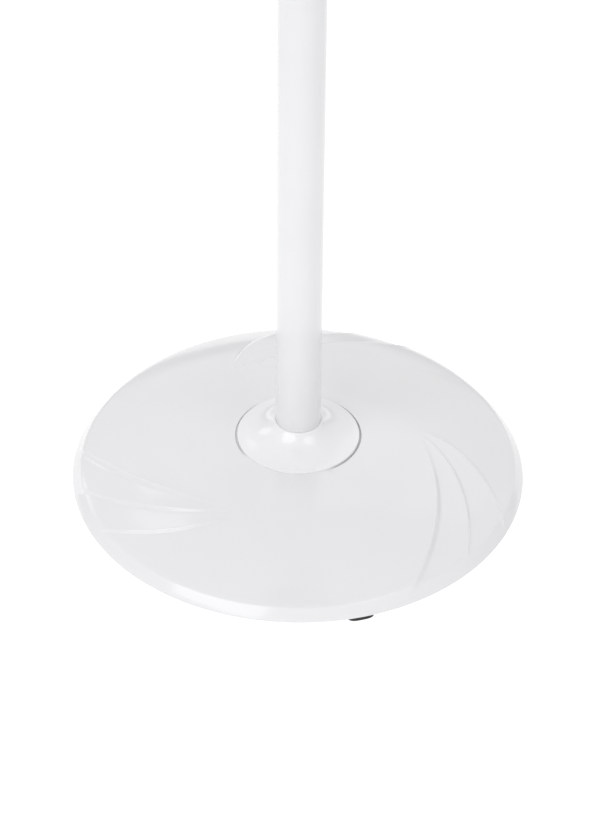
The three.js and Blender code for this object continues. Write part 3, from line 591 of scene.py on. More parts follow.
def base_cover():
    """Dome with three fans of ridges and a bevelled rim, with a shadow gap round the collar."""
    inner = 26.0
    groove = [(COLLAR_EDGE + reach, share) for reach, share in ((-1.3, 0), (-0.9, 1), (1.3, 1), (2.0, 0))]
    top_rows = [66, 74, 84, 94, 102]
    top_rows += [106 + 3.2 * i for i in range(27)]
    # each row: radius, height, share of the ridges' height, share of the groove's depth
    rows = [(inner, DOME_TOP, 0.0, 0.0), (48.0, DOME_TOP, 0.0, 0.0)]
    rows += [(r, dome_height(r), 0.0, open_share) for r, open_share in groove]
    rows += [(r, dome_height(r), 1.0, 0.0) for r in top_rows]
    crease = Vector((CREASE_RADIUS, dome_height(CREASE_RADIUS)))
    bottom = Vector((SKIRT_RADIUS, FOOT_HEIGHT))
    rows += [(crease.x - 0.5, dome_height(crease.x - 0.5), 1.0, 0.0)]
    for t in (0.03, 0.1, 0.3, 0.6, 0.92):
        point = crease.lerp(bottom, t)
        rows.append((point.x, point.y, (1 - t) ** 2, 0.0))
    rows += [(SKIRT_RADIUS - 0.2, FOOT_HEIGHT, 0.0, 0.0), (SKIRT_RADIUS - 4, FOOT_HEIGHT, 0.0, 0.0)]
    rows += [(r, dome_height(r) - COVER_WALL, 0.0, 0.0) for r in (190, 176, 160, 140, 120, 100, 70, inner)]
    rings = []
    for radius, height, share, open_share in rows:
        columns = cover_columns(min(max(radius, 106), BASE_RADIUS))
        ring = []
        for degrees, lift in columns:
            angle = math.radians(degrees)
            level = height + lift * share - open_share * collar_groove(degrees)
            ring.append((radius * math.cos(angle), radius * math.sin(angle), level))
        rings.append(ring)
    return skin("base_cover_moulding", rings, POLE, sharp_degrees=28)


def base_collar():
    """Bell-shaped collar, close round the pole, with a thin lip resting on the dome."""
    lip = DOME_TOP + 1.5
    top = DOME_TOP + COLLAR_RISE
    bore = LOWER_POLE_RADIUS + 0.06
    shoulder = Vector((bore + 1.5, top))
    down = Vector((math.cos(COLLAR_STEEPEST), -math.sin(COLLAR_STEEPEST)))
    start, end = Vector((COLLAR_EDGE - 0.7, lip)), shoulder + 1.8 * down
    low, high = Vector((41.0, lip + 1.0)), shoulder + 10 * down
    sweep = []  # Bezier curve from the lip up to the shoulder
    for i in range(29):
        t = i / 28
        early = start * (1 - t) ** 3 + low * 3 * t * (1 - t) ** 2
        sweep.append(early + high * 3 * t * t * (1 - t) + end * t ** 3)
    outline = [(bore, DOME_TOP - 0.3), (COLLAR_EDGE + 0.3, DOME_TOP - 0.3), (COLLAR_EDGE, lip - 0.1, 0.6)]
    outline += [(p.x, p.y) for p in sweep]
    outline += [(shoulder.x, shoulder.y, 2.6)]
    outline += [(bore, top - 0.1, 0.2), (bore, top - 0.4), (LOWER_POLE_RADIUS - 0.1, top - 0.5)]
    return turned("collar", "z", outline, POLE, sides=160)


def foot(name, centre, angle):
    """Oblong rubber foot with a narrow bevel round its underside and a moulded shoulder."""
    profile = [  # height, inset
        (0.0, 4.0), (0.0, 1.3), (0.25, 0.8), (0.8, 0.3), (1.5, 0.0), (8.0, 0.0), (10.6, 0.0), (12.0, 0.2),
    ]
    turn = Matrix.Rotation(angle + math.pi / 2, 3, "Z")
    rings = []
    for height, inset in profile:
        loop = loop_oblong(24 - 2 * inset, 15 - 2 * inset, 3.2)
        rings.append([turn @ Vector((x, y, height)) for x, y in loop])
    rings.insert(0, [Vector((0, 0, 0))])
    rings.append([Vector((0, 0, profile[-1][0]))])
    return skin(name, rings, centre, closed=False)


def build_base():
    white = "gloss_white_plastic"
    finish_piece(base_cover(), white, "stand", "base_cover")
    finish_piece(base_collar(), white, "stand", "base_collar", material="collar_white")
    for i in range(1, 6):
        node = f"foot_{i}"
        centre = node_centre(node, z=0)
        outward = centre - POLE
        piece = foot(f"rubber_foot_{i}", centre, math.atan2(outward.y, outward.x))
        finish_piece(piece, "black_rubber", "stand", node)


# ---- pole and height clamp ----


def lobes(count, depth, outer):
    """Swell for turned(): scallops of the given depth that fade out over the outermost few millimetres."""
    fade = 6

    def swell(angle, radius, height):
        share = smooth((radius - (outer - fade)) / fade)
        return 1 - share * depth / outer * (0.5 + 0.5 * math.cos(count * angle)) ** 1.5

    return swell


def pole_tube(name, node, radius, sides=SIDES):
    low, high = node_box(node)
    return tube(name, "z", radius, radius - POLE_WALL, low.z, high.z, POLE, fillet=0.6, sides=sides)


def clamp_sleeve():
    """Stepped sleeve with a knob boss, a shadow groove and a chamfered mouth."""
    low, high = node_box("clamp_sleeve")
    seat = node_box("lower_pole")[1].z + 0.3
    outline = [
        (20.4, low.z, 0.4), (24.4, low.z, 1), (26.9, low.z + 5, 1.5), (26.9, low.z + 16, 0.3),
        (26.2, low.z + 16.6, 0.2), (26.2, low.z + 18.0, 0.2), (26.9, low.z + 18.6, 0.3),
        (26.9, high.z - 12, 3), (22, high.z, 1.2), (16.4, high.z, 0.4), (16.4, seat), (20.4, seat),
    ]
    sleeve = turned("height_clamp", "z", outline, POLE)
    centre = node_centre("clamp_knob", x=0, y=POLE.y)
    boss = turned("boss", "x", [(0, 21), (12, 21), (10, 27.5, 2), (9.8, 33.8, 0.8), (0, 33.8)], centre, 64)
    combine(sleeve, [boss], "UNION")
    thread = rod("thread", "x", 4.4, 0, 40, centre)
    return softened(combine(sleeve, [thread]), 0.5, 2)


def lobed_knob(name, centre, radius, back, front, count, depth):
    """Hand knob about X with soft lobes, a waisted back and a dished face."""
    outline = [
        (0, back), (radius * 0.62, back, 0.6), (radius * 0.66, back + 3, 1), (radius, back + 5, 1.6),
        (radius, front - 3, 2.6), (radius * 0.72, front, 1.4),
        (radius * 0.6, front - 1.4, 1.0), (0, front - 1.6),
    ]
    return turned(name, "x", outline, centre, 168, lobes(count, depth, radius), steps=6)


def clamp_knob():
    low, high = node_box("clamp_knob")
    centre = node_centre("clamp_knob", x=0, y=POLE.y)
    knob = lobed_knob("clamp_hand_knob", centre, 16.9, 34.4, high.x, 7, 3.2)
    stud = rod("stud", "x", 4, low.x, 38, centre, 0.4)
    return combine(knob, [stud], "UNION")


def build_pole():
    white_pole = pole_tube("white_pole", "lower_pole", LOWER_POLE_RADIUS, 160)
    chrome_pole = pole_tube("chrome_pole", "upper_pole", UPPER_POLE_RADIUS)
    finish_piece(white_pole, "white_enamel", "stand", "lower_pole")
    finish_piece(chrome_pole, "chromed_steel", "mast", "upper_pole")
    finish_piece(clamp_sleeve(), "grey_plastic", "stand", "clamp_sleeve")
    finish_piece(clamp_knob(), "dark_plastic", "clamp_knob", "clamp_knob")


# ---- head bracket, about the tilt axis ----


def eye_loop(half_width, bottom):
    """Outline in (y, z) of a plate with a round top about the axis."""
    angles = [math.pi * i / 40 for i in range(41)]
    points = [(-half_width, bottom), (half_width, bottom)]
    return points + [(half_width * math.cos(angle), half_width * math.sin(angle)) for angle in angles]


def yoke():
    """Cast fork: round hub with a blind bore, a bridge and two ears for the pin."""
    low = node_box("yoke")[0].z - TILT_AXIS.z
    hub_top = node_box("upper_pole")[1].z + 0.3 - TILT_AXIS.z
    bridge = hub_top + 7
    hub_outline = [(0, low), (20, low, 1), (22, low + 3, 2), (23.5, bridge - 9, 3)]
    hub_outline += [(26, bridge - 3), (0, bridge - 3)]
    body = turned("bracket_fork", "z", hub_outline, TILT_AXIS)
    bar = prism("bar", loop_oblong(61, 36, 7), bridge - 7, bridge + 1, along_z, TILT_AXIS)
    ears = [
        prism("ear", eye_loop(17, bridge - 4), side[0], side[1], along_x, TILT_AXIS)
        for side in ((21.5, 30.5), (-30.5, -21.5))
    ]
    bosses = [
        turned("ear_boss", "x", [(0, start), (11.5, start), (11, end, 0.6), (0, end)], TILT_AXIS, 64)
        for start, end in ((-25, -30.5), (25, 30.5))
    ]
    combine(body, [bar, *ears, *bosses], "UNION")
    cutters = [
        rod("bore", "z", UPPER_POLE_RADIUS + 0.3, low - 1, hub_top, TILT_AXIS),
        rod("pin_hole", "x", PIN_HOLE_RADIUS, -40, 40, TILT_AXIS),
        rod("screw_hole", "y", 3.3, 0, 40, TILT_AXIS + Vector((0, 0, low + 18))),
    ]
    return softened(combine(body, cutters), 1.1)


def tilt_pin():
    low, high = node_box("tilt_pin")
    outline = [(0, low.x), (9.8, low.x, 2.4), (9.8, -30.9, 0.5)]
    outline += [(6, -30.9, 0.3), (6, high.x, 0.8), (0, high.x)]
    pin = turned("tilt_axle", "x", outline, TILT_AXIS, 64)
    slot = block("slot", (low.x - 1, -8, -1), (low.x + 1.6, 8, 1), TILT_AXIS)
    return softened(combine(pin, [slot]), 0.2, 2)


def tilt_knob():
    knob = lobed_knob("tilt_hand_knob", TILT_AXIS, 18.9, 31.4, node_box("tilt_knob")[1].x, 8, 3.4)
    return combine(knob, [rod("bore", "x", PIN_HOLE_RADIUS, 20, 46, TILT_AXIS)])


def tilt_lug():
    """Block under the housing, saddle-topped, narrowing to a round eye between the ears."""
    loop = [(-24, 55), (-24, 12), (-16, 4)]
    angles = [math.pi * (1 + i / 30) for i in range(31)]
    loop += [(16 * math.cos(angle), 16 * math.sin(angle)) for angle in angles]
    loop += [(16, 4), (24, 12), (24, 55)]
    lug = prism("tilt_block", loop, -19, 19, along_x, TILT_AXIS)
    housing = rod("housing", "y", POD_RADIUS + 0.3, -60, 60, POD_AXIS, sides=SIDES)
    pin_hole = rod("pin_hole", "x", PIN_HOLE_RADIUS, -40, 40, TILT_AXIS)
    return softened(combine(lug, [housing, pin_hole]), 1.2)


def swivel_screw():
    low, high = node_box("swivel_screw")
    centre = node_centre("swivel_screw", x=0, y=POLE.y)
    start, end = low.y - POLE.y, high.y - POLE.y
    outline = [(0, start), (3, start, 0.3), (3, end - 5), (5.4, end - 5, 0.4), (5.4, end, 0.8), (0, end)]
    screw = turned("swivel_stop_screw", "y", outline, centre, 48)
    socket = rod("socket", "y", 2.6, end - 2.6, end + 1, centre, sides=6)
    return softened(combine(screw, [socket]), 0.15, 2)


def build_bracket():
    finish_piece(yoke(), "cast_aluminium", "bracket", "yoke")
    finish_piece(tilt_pin(), "plated_steel", "bracket", "tilt_pin")
    finish_piece(swivel_screw(), "plated_steel", "bracket", "swivel_screw")
    finish_piece(tilt_knob(), "dark_plastic", "tilt_knob", "tilt_knob")
    finish_piece(tilt_lug(), "cast_aluminium", "head", "tilt_lug")


# ---- rear housing, about its axis ----

PANEL_LOW, PANEL_HIGH = node_box("control_panel")
PANEL_FACE = PANEL_HIGH.x
GRILLE_LOW = node_box("intake_grille")[0].y - POD_AXIS.y
GRILLE_HIGH = node_box("intake_grille")[1].y - POD_AXIS.y


def ball(name, radius, centre):
    return turned(name, "z", arc(radius, math.pi, 72), centre, 144)


def rear_housing():
    """Drum-shaped housing with a shadow groove, a large rear radius and a front edge fitted to the hood."""
    r = POD_RADIUS
    inner = r - 3
    back = GRILLE_HIGH - 2.3
    outline = [
        (r, -75), (r, 40, 0.4), (r - 0.9, 40.7, 0.3), (r - 0.9, 42.1, 0.3), (r, 42.8, 0.4), (r, back, 20),
        (68, back, 0.8), (68, GRILLE_LOW - 3), (inner, GRILLE_LOW - 3, 16), (inner, -75),
    ]
    body = turned("motor_housing", "y", outline, POD_AXIS, steps=9)
    gland = node_centre("cable_gland") - POD_AXIS
    cutters = [
        ball("hood_space", HOOD_RADIUS + 0.3, HOOD_CENTRE),
        block("window", (55, -4, -42), (95, 72, 42), POD_AXIS),
        rod("gland_hole", "z", 6.8, -r - 8, -r + 12, POD_AXIS + Vector((0, gland.y, 0))),
    ]
    return softened(combine(body, cutters), 0.35, 2)


def intake_grille():
    """Recessed grille with round-ended radial slots, a hub boss and a flange."""
    y0, y1 = GRILLE_LOW, GRILLE_HIGH
    outline = [
        (0, y0), (67.4, y0), (67.4, y1 - 2), (74.8, y1 - 2),
        (74.8, y1, 1.6), (66, y1, 1.0), (62, y0 + 3.8, 2),
        (16, y0 + 3.8, 1.0), (14, y0 + 5.2, 1.2), (0, y0 + 5.2),
    ]
    disc = turned("air_grille", "y", outline, POD_AXIS)
    slots = []
    for i in range(20):
        turn = Matrix.Rotation(2 * math.pi * i / 20, 3, "Y")
        loop = [(u + 38, v) for u, v in loop_oblong(40, 4.8, 3.0, 40)]
        slots.append(prism("slot", loop, y0 - 1, y1 + 1, turned_by(turn, along_y), POD_AXIS))
    return softened(combine(disc, [gather("slots", slots)]), 0.5, 2, 40)


def grille_screw(node):
    """Pan-head screw with a cross recess."""
    centre = node_centre(node, y=POD_AXIS.y)
    low, high = node_box(node)
    start, end = low.y - POD_AXIS.y, high.y - POD_AXIS.y
    outline = [(0, start), (1.5, start), (1.5, end - 1.6)]
    outline += [(3.2, end - 1.6, 0.2), (3.1, end - 0.2, 1.2), (0, end)]
    screw = turned(f"pan_screw_{node[-1]}", "y", outline, centre, 40)
    cross = [
        block("cross", (-1.9, end - 0.9, -0.35), (1.9, end + 1, 0.35), centre),
        block("cross", (-0.35, end - 0.9, -1.9), (0.35, end + 1, 1.9), centre),
    ]
    return combine(screw, cross)


def control_panel():
    """Fascia with a crowned edge, dished round the knobs and saddle-backed on the drum."""
    size = PANEL_HIGH - PANEL_LOW
    centre = node_centre("control_panel", x=0, z=POD_AXIS.z)
    rings = [[(PANEL_LOW.x - 12, 0, 0)]]
    steps = [(PANEL_LOW.x - 12, 0), (PANEL_FACE - 3, 0)]
    steps += [(PANEL_FACE - 1.6, 0.35), (PANEL_FACE - 0.6, 1.2), (PANEL_FACE, 3)]
    for x, inset in steps:
        loop = loop_oblong(size.y - 2 * inset, size.z - 2 * inset, 7, 144)
        rings.append([(x, u, v) for u, v in loop])
    rings.append([(PANEL_FACE, 0, 0)])
    panel = skin("control_fascia", rings, centre, closed=False)
    cutters = [rod("drum", "y", POD_RADIUS + 0.3, -60, 130, POD_AXIS, sides=SIDES)]
    for knob, radius in (("timer_knob", 17.0), ("heat_knob", 15.0)):
        dish = [(0, PANEL_FACE - 0.8), (radius - 0.8, PANEL_FACE - 0.8, 0.6)]
        dish += [(radius + 0.2, PANEL_FACE + 1), (0, PANEL_FACE + 1)]
        cutters.append(turned("dish", "x", dish, node_centre(knob, x=0)))
    rocker = node_centre("rocker_body", x=0)
    cutters.append(block("rocker_hole", (80, -6.8, -12.4), (120, 6.8, 12.4), rocker))
    cutters.append(rod("lamp_hole", "x", 5.3, 88, 120, node_centre("pilot_lamp", x=0)))
    return softened(combine(panel, cutters), 0.4, 2)


def dial_knob(name, node, flutes):
    """Fluted dial with a skirt, a crowned face and a raised pointer bar."""
    low, high = node_box(node)
    radius = (high.y - low.y) / 2
    centre = node_centre(node, x=0)
    face = high.x - 2.5
    outline = [
        (0, low.x), (radius, low.x, 0.4), (radius, low.x + 2.6, 1.2), (radius - 2.4, low.x + 4, 1.0),
        (radius - 3.2, face, 1.8), (0, face + 0.3),
    ]

    def grip(angle, r, height):
        on_side = smooth((height - low.x - 3.4) / 1.2) * smooth((r - radius * 0.6) / 3)
        return 1 - 0.035 * on_side * (0.5 + 0.5 * math.cos(flutes * angle))

    knob = turned(name, "x", outline, centre, 192, grip, steps=6)
    bar = prism("bar", loop_oblong(4, 2 * radius - 9, 4, 48), face - 1, high.x, along_x, centre)
    return softened(combine(knob, [bar], "UNION"), 0.35, 2, 50), centre, radius


def pointer(name, centre, radius, face):
    loop = [(u, v + radius * 0.36) for u, v in loop_oblong(1.3, radius * 0.42, 4, 32)]
    return prism(name, loop, face - 0.1, face + 0.15, along_x, centre)


def scale_marks(name, centre, radius, count, sweep):
    """Printed ticks round a knob, as one thin piece a tenth of a millimetre proud of the fascia."""
    low, high = PANEL_FACE - 0.3, PANEL_FACE + 0.1
    marks = []
    for i in range(count):
        angle = math.radians(90 + sweep / 2 - sweep * i / (count - 1))
        turn = Matrix.Rotation(angle, 3, "X")
        length = 2.0 if i % 2 == 0 else 1.2
        loop = [(u + radius + 1.7 + length / 2, v) for u, v in loop_oblong(length, 0.6, 4, 16)]
        marks.append(prism("mark", loop, low, high, turned_by(turn, along_x), centre))
    return gather(name, marks)


def rocker_switch():
    """Rocker with two faces meeting in a valley, tipped to its rest side."""
    loop = [(-8, -11), (3.4, -11), (1.2, 0), (3.4, 11), (-8, 11), (-10, 0)]
    turn = Matrix.Rotation(math.radians(-6), 3, "Y")
    centre = node_centre("rocker_body", x=PANEL_FACE - 1)
    piece = prism("power_rocker", loop, -6, 6, turned_by(turn, along_y), centre)
    return softened(piece, 0.6, 3)


def pilot_lamp():
    low, high = node_box("pilot_lamp")
    outline = [(0, low.x), (4.9, low.x), (4.9, PANEL_FACE + 0.8, 0.5), (4.0, high.x, 2.0), (0, high.x)]
    return turned("lamp_lens", "x", outline, node_centre("pilot_lamp", x=0), 64, steps=6)


def cable_gland():
    """Gland with a hexagonal nut and a ribbed nose, open right through."""
    low, high = node_box("cable_gland")
    nut_low, nut_high = high.z - 14.6, high.z - 9.0

    def hexagon(angle, radius, height):
        if radius < 8 or not nut_low <= height <= nut_high:
            return 1
        return math.cos(math.pi / 6) / math.cos((angle % (math.pi / 3)) - math.pi / 6)

    outline = [
        (3.8, low.z, 0.5), (6.8, low.z, 1.2), (7.4, low.z + 3, 0.5), (6.9, low.z + 4, 0.3),
        (8.2, low.z + 6.5, 0.5), (8.4, nut_low - 0.4), (9.4, nut_low), (9.4, nut_high),
        (6.5, high.z - 8.4), (6.5, high.z, 0.4), (3.8, high.z, 0.4),
    ]
    return turned("cord_gland", "z", outline, node_centre("cable_gland", z=0), 96, hexagon)


def build_pod():
    white, grey, dark = "gloss_white_plastic", "grey_plastic", "dark_plastic"
    finish_piece(rear_housing(), white, "head", "rear_housing")
    finish_piece(intake_grille(), grey, "head", "intake_grille")
    for i in range(1, 5):
        node = f"grille_screw_{i}"
        finish_piece(grille_screw(node), "plated_steel", "head", node)
    finish_piece(control_panel(), grey, "head", "control_panel")
    for node, flutes, ticks, sweep in (("timer_knob", 28, 13, 300), ("heat_knob", 24, 9, 270)):
        knob, centre, radius = dial_knob(f"{node}_dial", node, flutes)
        finish_piece(knob, dark, node, node)
        mark = pointer(f"{node}_pointer", centre, radius, node_box(node)[1].x)
        finish_piece(mark, white, node)
        marks = scale_marks(f"{node}_scale", centre, radius, ticks, sweep)
        finish_piece(marks, white, "head")
    finish_piece(rocker_switch(), dark, "rocker_switch", "rocker_switch")
    finish_piece(pilot_lamp(), "amber_lens", "head", "pilot_lamp")
    finish_piece(cable_gland(), dark, "head", "cable_gland")


# ---- hood, about its centre ----

AZIMUTHS = [2 * math.pi * i / 192 for i in range(192)]


def edge_height(y):
    """Height of the hood's edge: level at the back, rising at 45 degrees over the face, with a soft bend."""
    bend = 14.0
    ahead = -FACE_CUT_START - y
    return HOOD_EDGE + (ahead + math.hypot(ahead, bend)) / 2


def sphere_point(radius, polar, azimuth):
    across = radius * math.sin(polar)
    return Vector((across * math.cos(azimuth), across * math.sin(azimuth), radius * math.cos(polar)))


def edge_polar(radius, azimuth, lift):
    """Angle down from the crown at which a sphere meets the hood's edge, raised by lift."""

    def above(polar):
        point = sphere_point(radius, polar, azimuth)
        return point.z - edge_height(point.y) - lift

    low, high = 0.2, 0.2
    while above(high) > 0:
        low, high = high, high + 0.05
    for _ in range(26):
        middle = (low + high) / 2
        low, high = (middle, high) if above(middle) > 0 else (low, middle)
    return low


def edge_ring(radius, lift):
    return [sphere_point(radius, edge_polar(radius, azimuth, lift), azimuth) for azimuth in AZIMUTHS]


LIP = ((0.10, 0.6), (0.45, 0.12), (1.0, 0.0))  # (inset from a skin's face, lift above its edge)


def dome_rings(radius, first, rows=44):
    """Rings of a sphere from the polar angle first down to the hood's edge."""
    rings = []
    for i in range(rows + 1):
        ring = []
        for azimuth in AZIMUTHS:
            last = edge_polar(radius, azimuth, 1.4)
            ring.append(sphere_point(radius, first + (last - first) * i / rows, azimuth))
        rings.append(ring)
    return rings


def lip_rings(radius, wall):
    """Rounded lip that joins a shell's outer face to its inner one along the hood's edge."""
    places = [(radius - inset, lift) for inset, lift in LIP]
    places += [(radius - wall + inset, lift) for inset, lift in reversed(LIP)]
    return [edge_ring(r, lift) for r, lift in places]


def hood_shell():
    inner = HOOD_RADIUS - HOOD_WALL
    rings = [[(0, 0, HOOD_RADIUS)], *dome_rings(HOOD_RADIUS, 0.03), *lip_rings(HOOD_RADIUS, HOOD_WALL)]
    rings += [*reversed(dome_rings(inner, 0.03)), [(0, 0, inner)]]
    shell = skin("hood_outer", rings, HOOD_CENTRE, closed=False, sharp_degrees=50)
    duct_centre = Vector((0, HOOD_CENTRE.y, POD_AXIS.z))
    duct = rod("duct", "y", 70.5, 100, 220, duct_centre, sides=SIDES)
    return combine(shell, [duct])


def hood_bowl():
    """Smooth wall of the inner bowl, up to the air diffuser's seat."""
    inner = BOWL_RADIUS - BOWL_WALL
    seat = DIFFUSER_SEAT - 0.15
    rings = dome_rings(BOWL_RADIUS, math.acos(seat / BOWL_RADIUS), 30) + lip_rings(BOWL_RADIUS, BOWL_WALL)
    rings += reversed(dome_rings(inner, math.acos(seat / inner), 30))
    return skin("hood_inner_bowl", rings, HOOD_CENTRE, sharp_degrees=50)


def air_diffuser():
    """Perforated crown of the inner bowl, with a stepped flange on the bowl's wall."""
    seat = DIFFUSER_SEAT + 0.3
    inner = BOWL_RADIUS - BOWL_WALL
    steps = 26
    outside, inside = math.acos((seat + 2) / BOWL_RADIUS), math.acos(seat / inner)
    outline = arc(BOWL_RADIUS, outside, steps)
    edge = math.sqrt(BOWL_RADIUS ** 2 - seat ** 2)
    outline += [(edge + 4.9, seat + 2, 0.4), (edge + 4.9, seat, 0.4)]
    outline += [(inner * math.sin(inside) + 0.1, seat, 0.5)]
    outline += arc(inner, inside, steps)[-2::-1]
    crown = turned("air_diffuser_crown", "z", outline, HOOD_CENTRE)
    low, high = BOWL_RADIUS - 12, BOWL_RADIUS + 6
    holes = []
    for tilt, count in ((14, 6), (27, 12), (40, 18)):
        for i in range(count):
            round_axis = Matrix.Rotation(2 * math.pi * (i + 0.5) / count, 4, "Z")
            turn = round_axis @ Matrix.Rotation(math.radians(tilt), 4, "Y")
            hole = rod("hole", "z", AIR_HOLE_RADIUS, low, high, sides=28)
            hole.data.transform(Matrix.Translation(HOOD_CENTRE * MM) @ turn)
            holes.append(hole)
    return softened(combine(crown, [gather("holes", holes)]), 0.4, 2, 40)


def hood_rim():
    """Trim that closes the air space between shell and bowl, with a soft rolled bead."""
    outer = HOOD_RADIUS - HOOD_WALL - 0.3
    inner = BOWL_RADIUS + 0.3
    middle = (outer + inner) / 2
    section = [
        (outer, 4.0), (outer, 0.4), (outer - 0.8, -1.0), (outer - 3, -2.2),
        (middle + 4, -2.6), (middle - 4, -2.6),
        (inner + 3, -2.2), (inner + 0.8, -1.0), (inner, 0.4), (inner, 4.0),
    ]
    rings = [edge_ring(radius, lift) for radius, lift in section]
    return skin("hood_trim", rings, HOOD_CENTRE)


def visor():
    """Clear visor: a slice of a sphere between two angles about its pivots, with a rolled lower lip."""
    low, high = math.radians(-45), math.radians(26)
    outer, inner = VISOR_RADIUS, VISOR_RADIUS - VISOR_WALL
    steps = 44

    def place(radius, latitude, longitude):
        ring = radius * math.cos(latitude)
        return Vector((radius * math.sin(latitude), -ring * math.cos(longitude), ring * math.sin(longitude)))

    def face(radius, latitude, inset, lip=0.0):
        points = []
        for i in range(steps + 1):
            t = i / steps
            bulge = lip * max(0.0, 1 - t * steps / 2.5)
            edge = inset if i in (0, steps) else 0.0
            points.append(place(radius - edge + bulge, latitude, low + (high - low) * t))
        return points

    def section(latitude):
        return face(outer, latitude, 0.6, 1.6 * math.cos(latitude) ** 2) + face(inner, latitude, -0.6)[::-1]

    limit = math.radians(87)
    latitudes = [-limit + 2 * limit * i / 140 for i in range(141)]
    middle = (low + high) / 2
    rings = [[place((outer + inner) / 2, -limit, middle)], *[section(a) for a in latitudes]]
    rings.append([place((outer + inner) / 2, limit, middle)])
    shield = skin("face_visor", rings, HOOD_CENTRE, closed=False, sharp_degrees=45)
    radii = [17.0 * i / 8 for i in range(9)]
    for side in (1, -1):
        outline = [(r, side * (math.sqrt(outer * outer - r * r) + 0.05)) for r in radii]
        outline += [(r, side * (math.sqrt(inner * inner - r * r) - 0.05)) for r in reversed(radii)]
        combine(shield, [turned("eye", "x", outline, HOOD_CENTRE, 64)], "UNION")
    return combine(shield, [rod("pivot_hole", "x", PIN_HOLE_RADIUS, -220, 220, HOOD_CENTRE)])


def visor_pivot(name, node, side):
    low, high = node_box(node)
    reach = max(abs(low.x), abs(high.x))
    start = min(abs(low.x), abs(high.x))
    seat = VISOR_RADIUS + 0.3
    outline = [
        (0, start * side), (6, start * side, 0.2), (6, seat * side), (12.8, seat * side, 0.4),
        (12.6, (reach - 0.4) * side, 2.4), (5, reach * side, 0.4),
        (4.6, (reach - 1.2) * side, 0.4), (0, (reach - 1.2) * side),
    ]
    return turned(name, "x", outline, HOOD_CENTRE, 72, steps=6)


def build_hood():
    finish_piece(hood_shell(), "gloss_white_plastic", "head", "hood_shell")
    finish_piece(hood_bowl(), "bowl_plastic", "head", "hood_bowl")
    finish_piece(air_diffuser(), "bowl_plastic", "head", "air_diffuser")
    finish_piece(hood_rim(), "grey_plastic", "head", "hood_rim")
    finish_piece(visor(), "smoked_clear", "visor", "visor")
    for side, word in ((1, "right"), (-1, "left")):
        node = f"visor_pivot_{word}"
        piece = visor_pivot(f"pivot_cap_{word}", node, side)
        finish_piece(piece, "grey_plastic", "head", node)


def dress_frame_nodes():
    """Pieces inside the dryer keep their CAD shape and get their record slot's finish."""
    slots = {entry["node"]: entry["material_slot"] for entry in frame["record"]["subparts"]}
    for node, obj in frame["nodes"].items():
        obj.data.materials.clear()
        obj.data.materials.append(MATERIALS["filter_mesh" if node == "lint_filter" else slots[node]])


# ---- camera, floor and light ----


def camera():
    """Long lens looking down on the base at the catalogue angle."""
    data = bpy.data.cameras.new("camera")
    data.sensor_width = 36
    data.lens = 120.4
    data.clip_end = 50
    obj = add_object("camera", data)
    pitch, roll = 0.6823, 0.0098
    forward = Vector((0, math.cos(pitch), -math.sin(pitch)))
    level_up = Vector((0, math.sin(pitch), math.cos(pitch)))
    right = Vector((math.cos(roll), 0, 0)) + level_up * math.sin(roll)
    up = level_up * math.cos(roll) - Vector((math.sin(roll), 0, 0))
    turn = Matrix((right, up, -forward)).transposed().to_4x4()
    from_pole = Vector((0.5, -1909.1, 1623.4))
    obj.matrix_world = Matrix.Translation((POLE + from_pole) * MM) @ turn
    bpy.context.scene.camera = obj


def floor():
    """Pale glowing floor: plain white round the base, fading to a light grey farther out."""
    bm = bmesh.new()
    bmesh.ops.create_grid(bm, x_segments=1, y_segments=1, size=30)
    obj = add_mesh("floor", bm)
    finish = Finish("floor_white", 0.9)
    finish.tint(finish.noise(2), (0.15, 0.15, 0.15), (0.17, 0.17, 0.17))
    distance = finish.nodes.new("ShaderNodeVectorMath")
    distance.operation = "LENGTH"
    finish.links.new(finish.coordinates.outputs["Object"], distance.inputs[0])
    glow = remap(finish.tree, distance.outputs["Value"], 1.15, 2.6, low=1.0, high=0.42, kind="SMOOTHSTEP")
    finish.shader.inputs["Emission Color"].default_value = (1, 1, 1, 1)
    finish.links.new(glow, finish.shader.inputs["Emission Strength"])
    obj.data.materials.append(finish.material)


def softbox(name, place, aim, size, watts):
    """Rectangular area light at a place, facing the point aimed at."""
    data = bpy.data.lights.new(name, "AREA")
    data.shape = "RECTANGLE"
    data.size, data.size_y = size
    data.energy = watts
    obj = add_object(name, data)
    place, aim = Vector(place), Vector(aim)
    obj.matrix_world = Matrix.Translation(place) @ (place - aim).to_track_quat("Z", "Y").to_matrix().to_4x4()


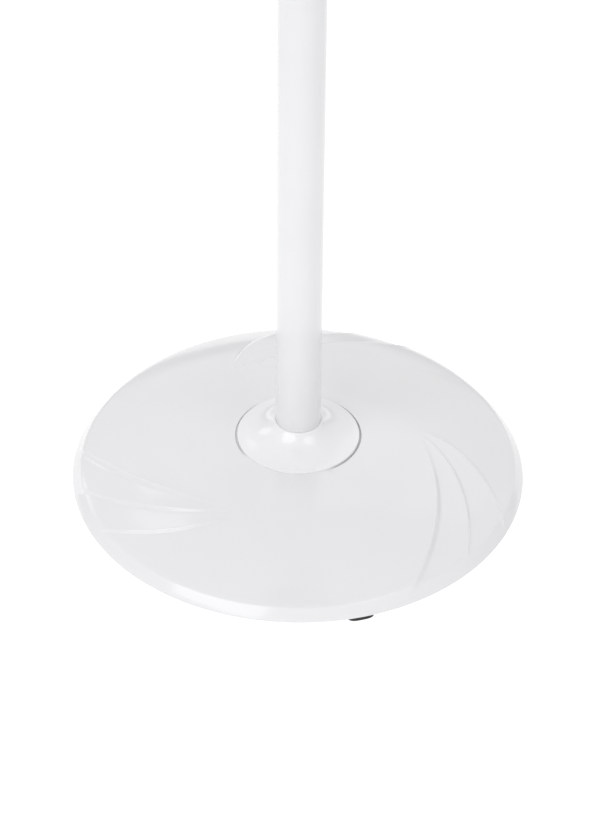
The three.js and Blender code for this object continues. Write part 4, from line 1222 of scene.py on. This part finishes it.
def sky(tones, back_tone):
    """Studio surroundings: grey tones from the horizon to overhead, with a paler wall high at the back."""
    world = bpy.data.worlds.new("studio")
    bpy.context.scene.world = world
    world.use_nodes = True
    tree = world.node_tree
    nodes, links = tree.nodes, tree.links
    coordinates = nodes.new("ShaderNodeTexCoord")
    split = nodes.new("ShaderNodeSeparateXYZ")
    links.new(coordinates.outputs["Generated"], split.inputs["Vector"])
    ramp = nodes.new("ShaderNodeValToRGB")
    stops = ramp.color_ramp.elements
    while len(stops) < len(tones):
        stops.new(0.5)
    for i, tone in enumerate(tones):
        stops[i].position = i / (len(tones) - 1)
        stops[i].color = (tone, tone, tone, 1)
    links.new(split.outputs["Z"], ramp.inputs["Fac"])
    shares = [
        remap(tree, split.outputs[axis], low, high, kind="SMOOTHSTEP")
        for axis, low, high in (("X", -0.65, -0.25), ("Y", 0.1, 0.8), ("Z", 0.05, 0.16))
    ]
    share = calculation(tree, "MULTIPLY", calculation(tree, "MULTIPLY", shares[0], shares[1]), shares[2])
    mix = nodes.new("ShaderNodeMixRGB")
    mix.inputs["Color2"].default_value = (back_tone, back_tone, back_tone, 1)
    links.new(share, mix.inputs["Fac"])
    links.new(ramp.outputs["Color"], mix.inputs["Color1"])
    links.new(mix.outputs["Color"], nodes["Background"].inputs["Color"])


def studio():
    sky((0.51, 0.68, 0.71), 0.98)
    y = POLE.y * MM
    base_top = (0, y, 0.05)
    softbox("key", (-2.73, y - 3.25, 4.24), base_top, (4.2, 3.2), 82)
    softbox("front", (-0.4, y - 4.6, 0.9), base_top, (3.0, 2.0), 21)
    softbox("rear", (1.2, y + 3.3, 3.6), base_top, (3.0, 2.0), 6)
    softbox("right", (2.0, y - 1.93, 3.6), base_top, (2.2, 1.6), 17)
    softbox("window", (-1.90, y + 1.43, 1.11), base_top, (0.9, 0.6), 2.0)
    softbox("pane", (-1.05, y + 1.55, 1.86), base_top, (0.55, 0.45), 0.6)
    softbox("glint", (-2.03, y - 2.17, 0.47), base_top, (0.25, 0.25), 2.5)
    bpy.context.scene.view_settings.view_transform = "Standard"


camera()
floor()
studio()
dress_frame_nodes()
build_base()
build_pole()
build_bracket()
build_pod()
build_hood()
